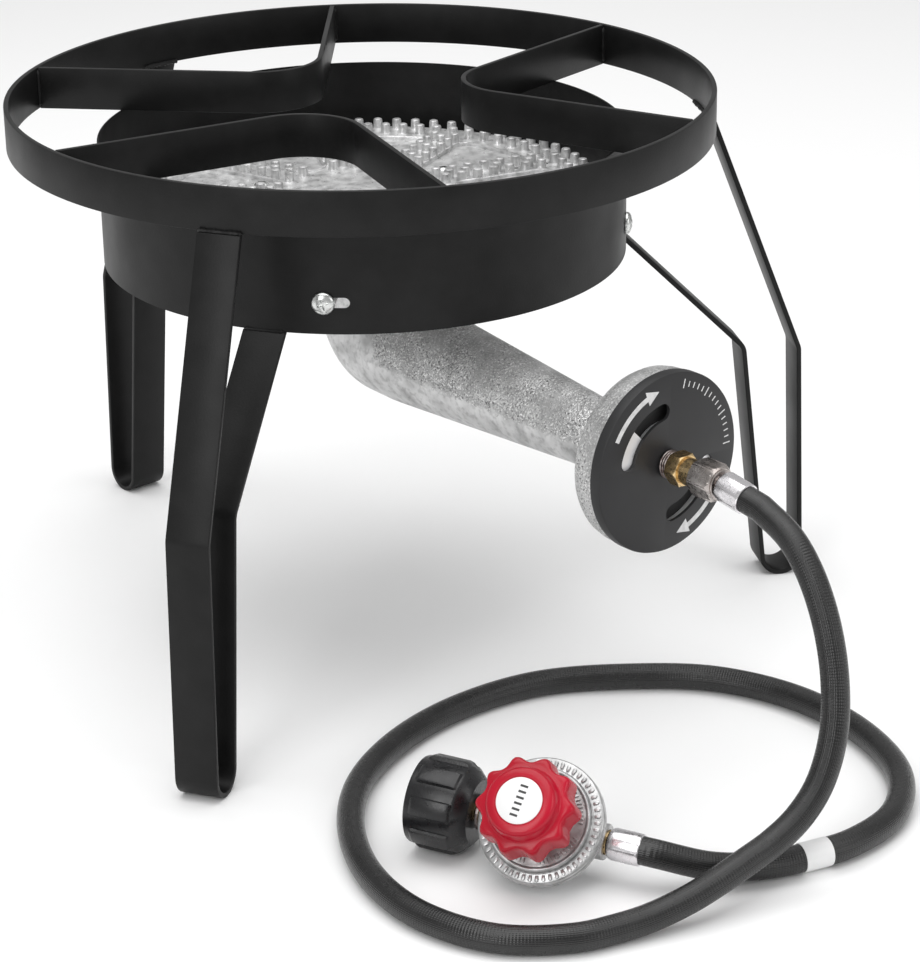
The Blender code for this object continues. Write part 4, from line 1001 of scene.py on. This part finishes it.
def flare_nut():
    nut = Piece("swivel_nut")
    hexagon_bar(nut, MOUTH, 19.0, NUT_BACK, NUT_FRONT, 6.4, 1.4)
    nut.lathe(MOUTH, sleeve(6.5, 5.2, NUT_FRONT - 3, NUT_FRONT - 0.6), 40)
    collar = ((7.7, 0.9), (8.1, 0.5), (8.1, -0.5), (5.2, -0.5), (5.2, 0.9))
    nut.lathe(MOUTH @ shifted(0, 0, NUT_FRONT), collar, 48)
    nut.done("nickel", stands_for=["flare_nut"], sharp=28)


def crimped_ferrule(name, place, node, ridges):
    """A sleeve crimped to eight flats, rolled in at its root and open over the hose."""
    crimp = Piece(name)
    rows = []
    sections = ((0.0, 5.6, 0), (0.4, 7.2, 0), (1.4, 8.2, 0.2), (2.6, 8.55, 1), (15.2, 8.55, 1),
                (16.4, 8.45, 0.4), (17.4, 8.5, 0.1), (18.0, 8.1, 0), (18.0, 7.55, 0), (14.5, 7.52, 0))
    sides = 64
    for z, radius, share in sections:
        def reach(angle):
            flat = 8.3 / math.cos(math.radians((angle + 22.5) % 45 - 22.5))
            return radius + (min(flat, 8.75) - radius) * (share if ridges else 0)
        rows.append(crimp.points(place, ring(sides, reach, z)))
    crimp.skin(rows)
    crimp.done("crimped_aluminium", stands_for=[node], sharp=28)


def plain_fittings():
    """Small pieces between nut, ferrules and body: a nickel stem and a brass nipple."""
    stem = Piece("stem_in_nut")
    stem.lathe(MOUTH, sleeve(4.6, 2.4, 290.8, NUT_FRONT + 2.4), 28)
    stem.done("nickel", stands_for=["hose_stem_burner"])
    nipple = Piece("nipple_at_outlet")
    nipple.lathe(OUTLET, sleeve(6.5, 2.4, 29.8, 33.7), 36)
    nipple.done("brass", stands_for=["outlet_nipple"])


# ---- hose ----------------------------------------------------------------------------------------
def spline_through(points, step):
    """Points about one step apart on a centripetal curve through all the given points."""
    dense = []
    ends = [2 * points[0] - points[1]] + points + [2 * points[-1] - points[-2]]
    for a, b, c, d in zip(ends, ends[1:], ends[2:], ends[3:]):
        t0 = 0.0
        t1 = t0 + math.sqrt((b - a).length)
        t2 = t1 + math.sqrt((c - b).length)
        t3 = t2 + math.sqrt((d - c).length)
        for i in range(20):
            t = t1 + (t2 - t1) * i / 20
            ab = a.lerp(b, (t - t0) / (t1 - t0))
            bc = b.lerp(c, (t - t1) / (t2 - t1))
            cd = c.lerp(d, (t - t2) / (t3 - t2))
            abc = ab.lerp(bc, (t - t0) / (t2 - t0))
            bcd = bc.lerp(cd, (t - t1) / (t3 - t1))
            dense.append(abc.lerp(bcd, (t - t1) / (t2 - t1)))
    dense.append(points[-1])
    lengths = [0.0]
    for before, after in zip(dense, dense[1:]):
        lengths.append(lengths[-1] + (after - before).length)
    count = round(lengths[-1] / step)
    spaced = []
    i = 0
    for k in range(count + 1):
        goal = lengths[-1] * k / count
        while i + 2 < len(dense) and lengths[i + 1] < goal:
            i += 1
        share = (goal - lengths[i]) / (lengths[i + 1] - lengths[i])
        spaced.append(dense[i].lerp(dense[i + 1], share))
    return spaced


BURNER_FERRULE = MOUTH @ shifted(0, 0, FERRULE_START) @ about_x(FERRULE_TILT)
OUTLET_FERRULE = OUTLET @ shifted(0, 0, 34)


def hose_points():
    first = [BURNER_FERRULE @ Vector((0, 0, FERRULE_ROOT + extra)) for extra in (0, 12)]
    last = [OUTLET_FERRULE @ Vector((0, 0, FERRULE_ROOT + extra)) for extra in (8, 0)]
    middle = [STAND @ Vector(point) for point in HOSE_ROUTE]
    route = first + middle + last
    return route[:1] + spline_through(route[1:-1], HOSE_STEP) + route[-1:]


def unroll(tube, sides):
    """UVs of a tube made in rings: u along it in millimetres, v once around it."""
    uvs = tube.data.uv_layers.new(name="unrolled").data
    for polygon in tube.data.polygons:
        wraps = {i % sides for i in polygon.vertices} >= {0, sides - 1}
        for loop, i in zip(polygon.loop_indices, polygon.vertices):
            around = sides if wraps and i % sides == 0 else i % sides
            uvs[loop].uv = (i // sides * HOSE_STEP, around / sides)


def gas_hose():
    points = hose_points()
    length = sum((b - a).length for a, b in zip(points, points[1:]))
    hose = Piece("rubber_gas_hose")
    hose.tube(Matrix.Identity(4), points, HOSE_RADIUS, HOSE_SIDES)
    made = hose.done("hose_rubber", stands_for=["gas_hose"], sharp=60)
    unroll(made, HOSE_SIDES)

    label = STAND @ LABEL_AT
    nearest = min(range(2, len(points) - 2), key=lambda i: (points[i] - label).length)
    span = round(LABEL_LENGTH / HOSE_STEP / 2)
    path = points[nearest - span:nearest + span + 1]
    band = Piece("hose_label_band")
    band.tube(Matrix.Identity(4), path, HOSE_RADIUS + 0.35, 48)
    label_band = band.done("label_white", stands_for=["hose_label_sleeve"], sharp=50, paint=PRINTED_BAND)
    unroll(label_band, 48)
    return made, label_band, points, length


# ---- regulator -----------------------------------------------------------------------------------
def regulator_body():
    body = Piece("regulator_lower_casting")
    profile = ((0, 13.6), (RIM_RADIUS - 0.6, 13.6), (RIM_RADIUS, 13.2), (RIM_RADIUS, 10.9),
               (RIM_RADIUS - 0.8, 10.2), (29.5, 9.6), (28.2, 7.5), (26.2, 2.5), (23.5, -2.5), (19, -7.5),
               (15.5, -11), (13.4, -13.2), (12.4, -14), (0, -14))
    body.lathe(VALVE, profile, 96)
    body.lathe(INLET, ((0, 34), (9.6, 34), (10.5, 33.2), (10.5, 15), (0, 15)), 48)
    boss = ((6.8, 32.8), (9.0, 32.8), (9.6, 32.2), (9.6, 15), (0, 15), (0, 29.5), (6.8, 29.5))
    body.lathe(OUTLET, boss, 48)
    body.done("die_cast_zinc", stands_for=["regulator_body"], sharp=38)


def regulator_bonnet():
    """The upper casting: crimped teeth round the rim, a bright ring and a stepped dome."""
    bonnet = Piece("regulator_upper_casting")
    profile = ((12.2, 35), (13, 34.4), (13, 24.8), (13.8, 22.8), (15.5, 21.4), (25.2, 19.5), (25.8, 20.1),
               (26.9, 20.1), (27.5, 19.2), (27.7, 17.2), (28.6, 16.7), (RIM_RADIUS - 1.6, 16.7),
               (RIM_RADIUS - 0.5, 16.2), (RIM_RADIUS, 15.4), (RIM_RADIUS, 14.6), (26, 14.6),
               (24.5, 16.6), (13.5, 18.6), (10.4, 21), (10.4, 33), (4.3, 33), (4.3, 35))
    bonnet.lathe(VALVE, profile, 120)
    for i in range(RIM_TEETH):
        place = VALVE @ about_z(360 * (i + 0.5) / RIM_TEETH)
        block = [(28.9, -0.75)] + arc((31.3, 0), 1.05, -80, 80, 5) + [(28.9, 0.75)]
        bonnet.prism(place, block, 16.4, 17.5)
    for i in range(34):
        place = VALVE @ about_z(-150 + 5.2 * i + 16 * (i // 12))
        bonnet.prism(place, bar(21.3, 23.9, 0.35), 19.2, 20.75)
    bonnet.done("die_cast_zinc", stands_for=["regulator_bonnet"], bevel=0.25, sharp=38)


def control_knob():
    """A scalloped skirt, a stepped cap round a hollow, and a label disc with plain dashes."""
    knob = Piece("red_knob")
    rows = []
    # (height, radius, share of the lobes' depth)
    levels = ((0.0, 26.0, 1.0), (0.7, 26.8, 1.0), (11.8, 26.5, 1.0), (14.2, 25.8, 0.96),
              (15.3, 24.6, 0.8), (15.6, 22.6, 0.4), (15.6, 19.9, 0.0), (16.4, 19.0, 0.0),
              (20.6, 18.4, 0.0), (22.5, 17.6, 0.0), (23.5, 16.2, 0.0), (23.5, 12.9, 0.0),
              (23.2, 12.6, 0.0))
    for z, radius, depth in levels:
        def reach(angle):
            tip = (0.5 + 0.5 * math.cos(math.radians(KNOB_LOBES * (angle + KNOB_TURN)))) ** 1.3
            return radius - LOBE_DEPTH * (1 - tip) * depth
        rows.append(knob.points(VALVE, ring(240, reach, KNOB_LOW + z)))
    knob.skin(rows)
    hollow = Piece("knob_hollow")
    hollow.lathe(VALVE, ((0, 43.7), (16, 43.7), (16, 31), (0, 31)), 64)
    carved(knob, hollow)
    knob.done("knob_red", "control_knob", ["control_knob"], sharp=42)
    label = Piece("knob_label_disc")
    face = KNOB_LOW + 23.8
    disc = ((0, face), (11.9, face), (12.1, face - 0.15), (12.1, face - 0.8), (0, face - 0.8))
    label.lathe(VALVE, disc, 72)
    label.done("label_white", "control_knob", ["knob_label"])
    marks = Piece("knob_dashes")
    for i in range(6):
        place = VALVE @ about_z(KNOB_DASHES) @ shifted(3.1 * (i - 2.5), 0, 0)
        marks.prism(place, bar(-0.6, 0.6, 2.1), face - 0.05, face + 0.05)
    marks.done("seal_rubber", "control_knob", paint=PRINTED_BLACK)


def tank_nut():
    """The big hand nut: thick shell, long raised pads and a coned shoulder."""
    nut = Piece("hand_nut")
    shell = ((17.6, NUT_MOUTH), (NUT_RADIUS - 1.4, NUT_MOUTH), (NUT_RADIUS - 0.4, NUT_MOUTH - 0.5),
             (NUT_RADIUS, NUT_MOUTH - 1.5), (NUT_RADIUS, 47), (NUT_RADIUS - 0.6, 45.4),
             (18.2, 40.4), (17.0, 39.5), (6.6, 39.5), (6.6, 44.0), (17.5, 44.0), (17.5, NUT_MOUTH - 0.1))
    nut.lathe(INLET, shell, 96)
    pad_tops = ((46.2, 22.6), (47.6, 24.3), (49.5, 24.9), (67.5, 24.9), (69.0, 24.3), (70.2, 22.8))
    for i in range(8):
        place = INLET @ about_z(45 * (i + 0.5))
        rows = []
        for z, top in pad_tops:
            half = ((20.5, 5.4), (22.6, 5.4), (top - 0.35, 4.9), (top, 3.9))
            row = [(x, -y, z) for x, y in half] + [(top + 0.1, 0, z)]
            rows.append(nut.points(place, row + [(x, y, z) for x, y in reversed(half)]))
        nut.skin(rows)
    nut.done("nut_plastic", "tank_nut", ["tank_nut"], sharp=32)


# ---- carried-over CAD nodes, camera and light ----------------------------------------------------
def paint_the_rest():
    """Every CAD node that still shows takes the material of its own slot."""
    slots = {row["node"]: row["material_slot"] for row in frame["record"]["subparts"]}
    for name, obj in frame["nodes"].items():
        if not obj.hide_render:
            obj.data.materials.clear()
            obj.data.materials.append(SLOTS[slots[name]].made)


def soft_insides():
    """The springs and the diaphragm each take a mesh of their own."""
    fixed_ends = (("regulating_spring", "seat_slide", 15.9, 0.73),
                  ("valve_return_spring", "valve_slide", -10.7, 0.87),
                  ("regulator_diaphragm", "valve_slide", 12.6, 0.62))
    for name, joint, foot, keep in fixed_ends:
        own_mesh(frame["nodes"][name])


def camera():
    data = bpy.data.cameras.new("camera")
    data.sensor_width = 36
    data.sensor_fit = "HORIZONTAL"
    data.lens = 116.26
    data.clip_start = 0.05
    data.clip_end = 20
    obj = placed("camera", data)
    ahead = Vector((0.595226, 0.705444, -0.384779))
    right = Vector((0.760205, -0.649514, -0.014819))
    above = right.cross(ahead)
    turn = Matrix((right, above, -ahead)).transposed().to_4x4()
    place = (Vector((-1042.4, -1318.75, 781.64)) + Vector((0, RING_Y, 0))) * MM
    obj.matrix_world = Matrix.Translation(place) @ turn
    bpy.context.scene.camera = obj


def area_light(name, place, target, size, power):
    data = bpy.data.lights.new(name, "AREA")
    data.shape = "RECTANGLE"
    data.size, data.size_y = size
    data.energy = power
    obj = placed(name, data)
    place, target = Vector(place), Vector(target)
    facing = (target - place).to_track_quat("-Z", "Y").to_matrix().to_4x4()
    obj.matrix_world = Matrix.Translation(place) @ facing


def studio():
    mesh = bpy.data.meshes.new("floor")
    corners = [(x, y, 0) for x, y in bar(-6.0, 6.0, 6.0)]
    mesh.from_pydata(corners, [], [(0, 1, 2, 3)])
    floor = placed("floor", mesh)
    mesh.materials.append(Material("studio_floor", (0.93, 0.93, 0.93), 0.9).made)
    world = bpy.data.worlds.new("studio")
    world.use_nodes = True
    sky = world.node_tree.nodes["Background"]
    sky.inputs["Color"].default_value = (1, 1, 1, 1)
    sky.inputs["Strength"].default_value = 0.50
    bpy.context.scene.world = world
    bpy.context.scene.view_settings.view_transform = "Standard"
    area_light("top_softbox", (0.0, 0.0, 2.4), (0, 0, 0.2), (2.6, 2.6), 48)
    area_light("left_softbox", (-2.2, -0.9, 1.5), (0, 0, 0.15), (1.0, 1.8), 21)
    area_light("front_softbox", (0.9, -2.4, 1.3), (0, 0, 0.15), (1.4, 1.4), 12)


def main():
    camera()
    hose, label_band, points, length = gas_hose()
    pot_ring()
    pot_supports()
    legs()
    wind_guard()
    guard_screws()
    burner_casting()
    burner_head()
    head_screws()
    flange_face()
    air_shutter()
    shutter_spring()
    orifice_fitting()
    flare_nut()
    crimped_ferrule("burner_crimp", BURNER_FERRULE, "hose_ferrule_burner", True)
    crimped_ferrule("outlet_crimp", OUTLET_FERRULE, "hose_ferrule_regulator", False)
    plain_fittings()
    regulator_body()
    regulator_bonnet()
    control_knob()
    tank_nut()
    paint_the_rest()
    soft_insides()
    studio()


main()
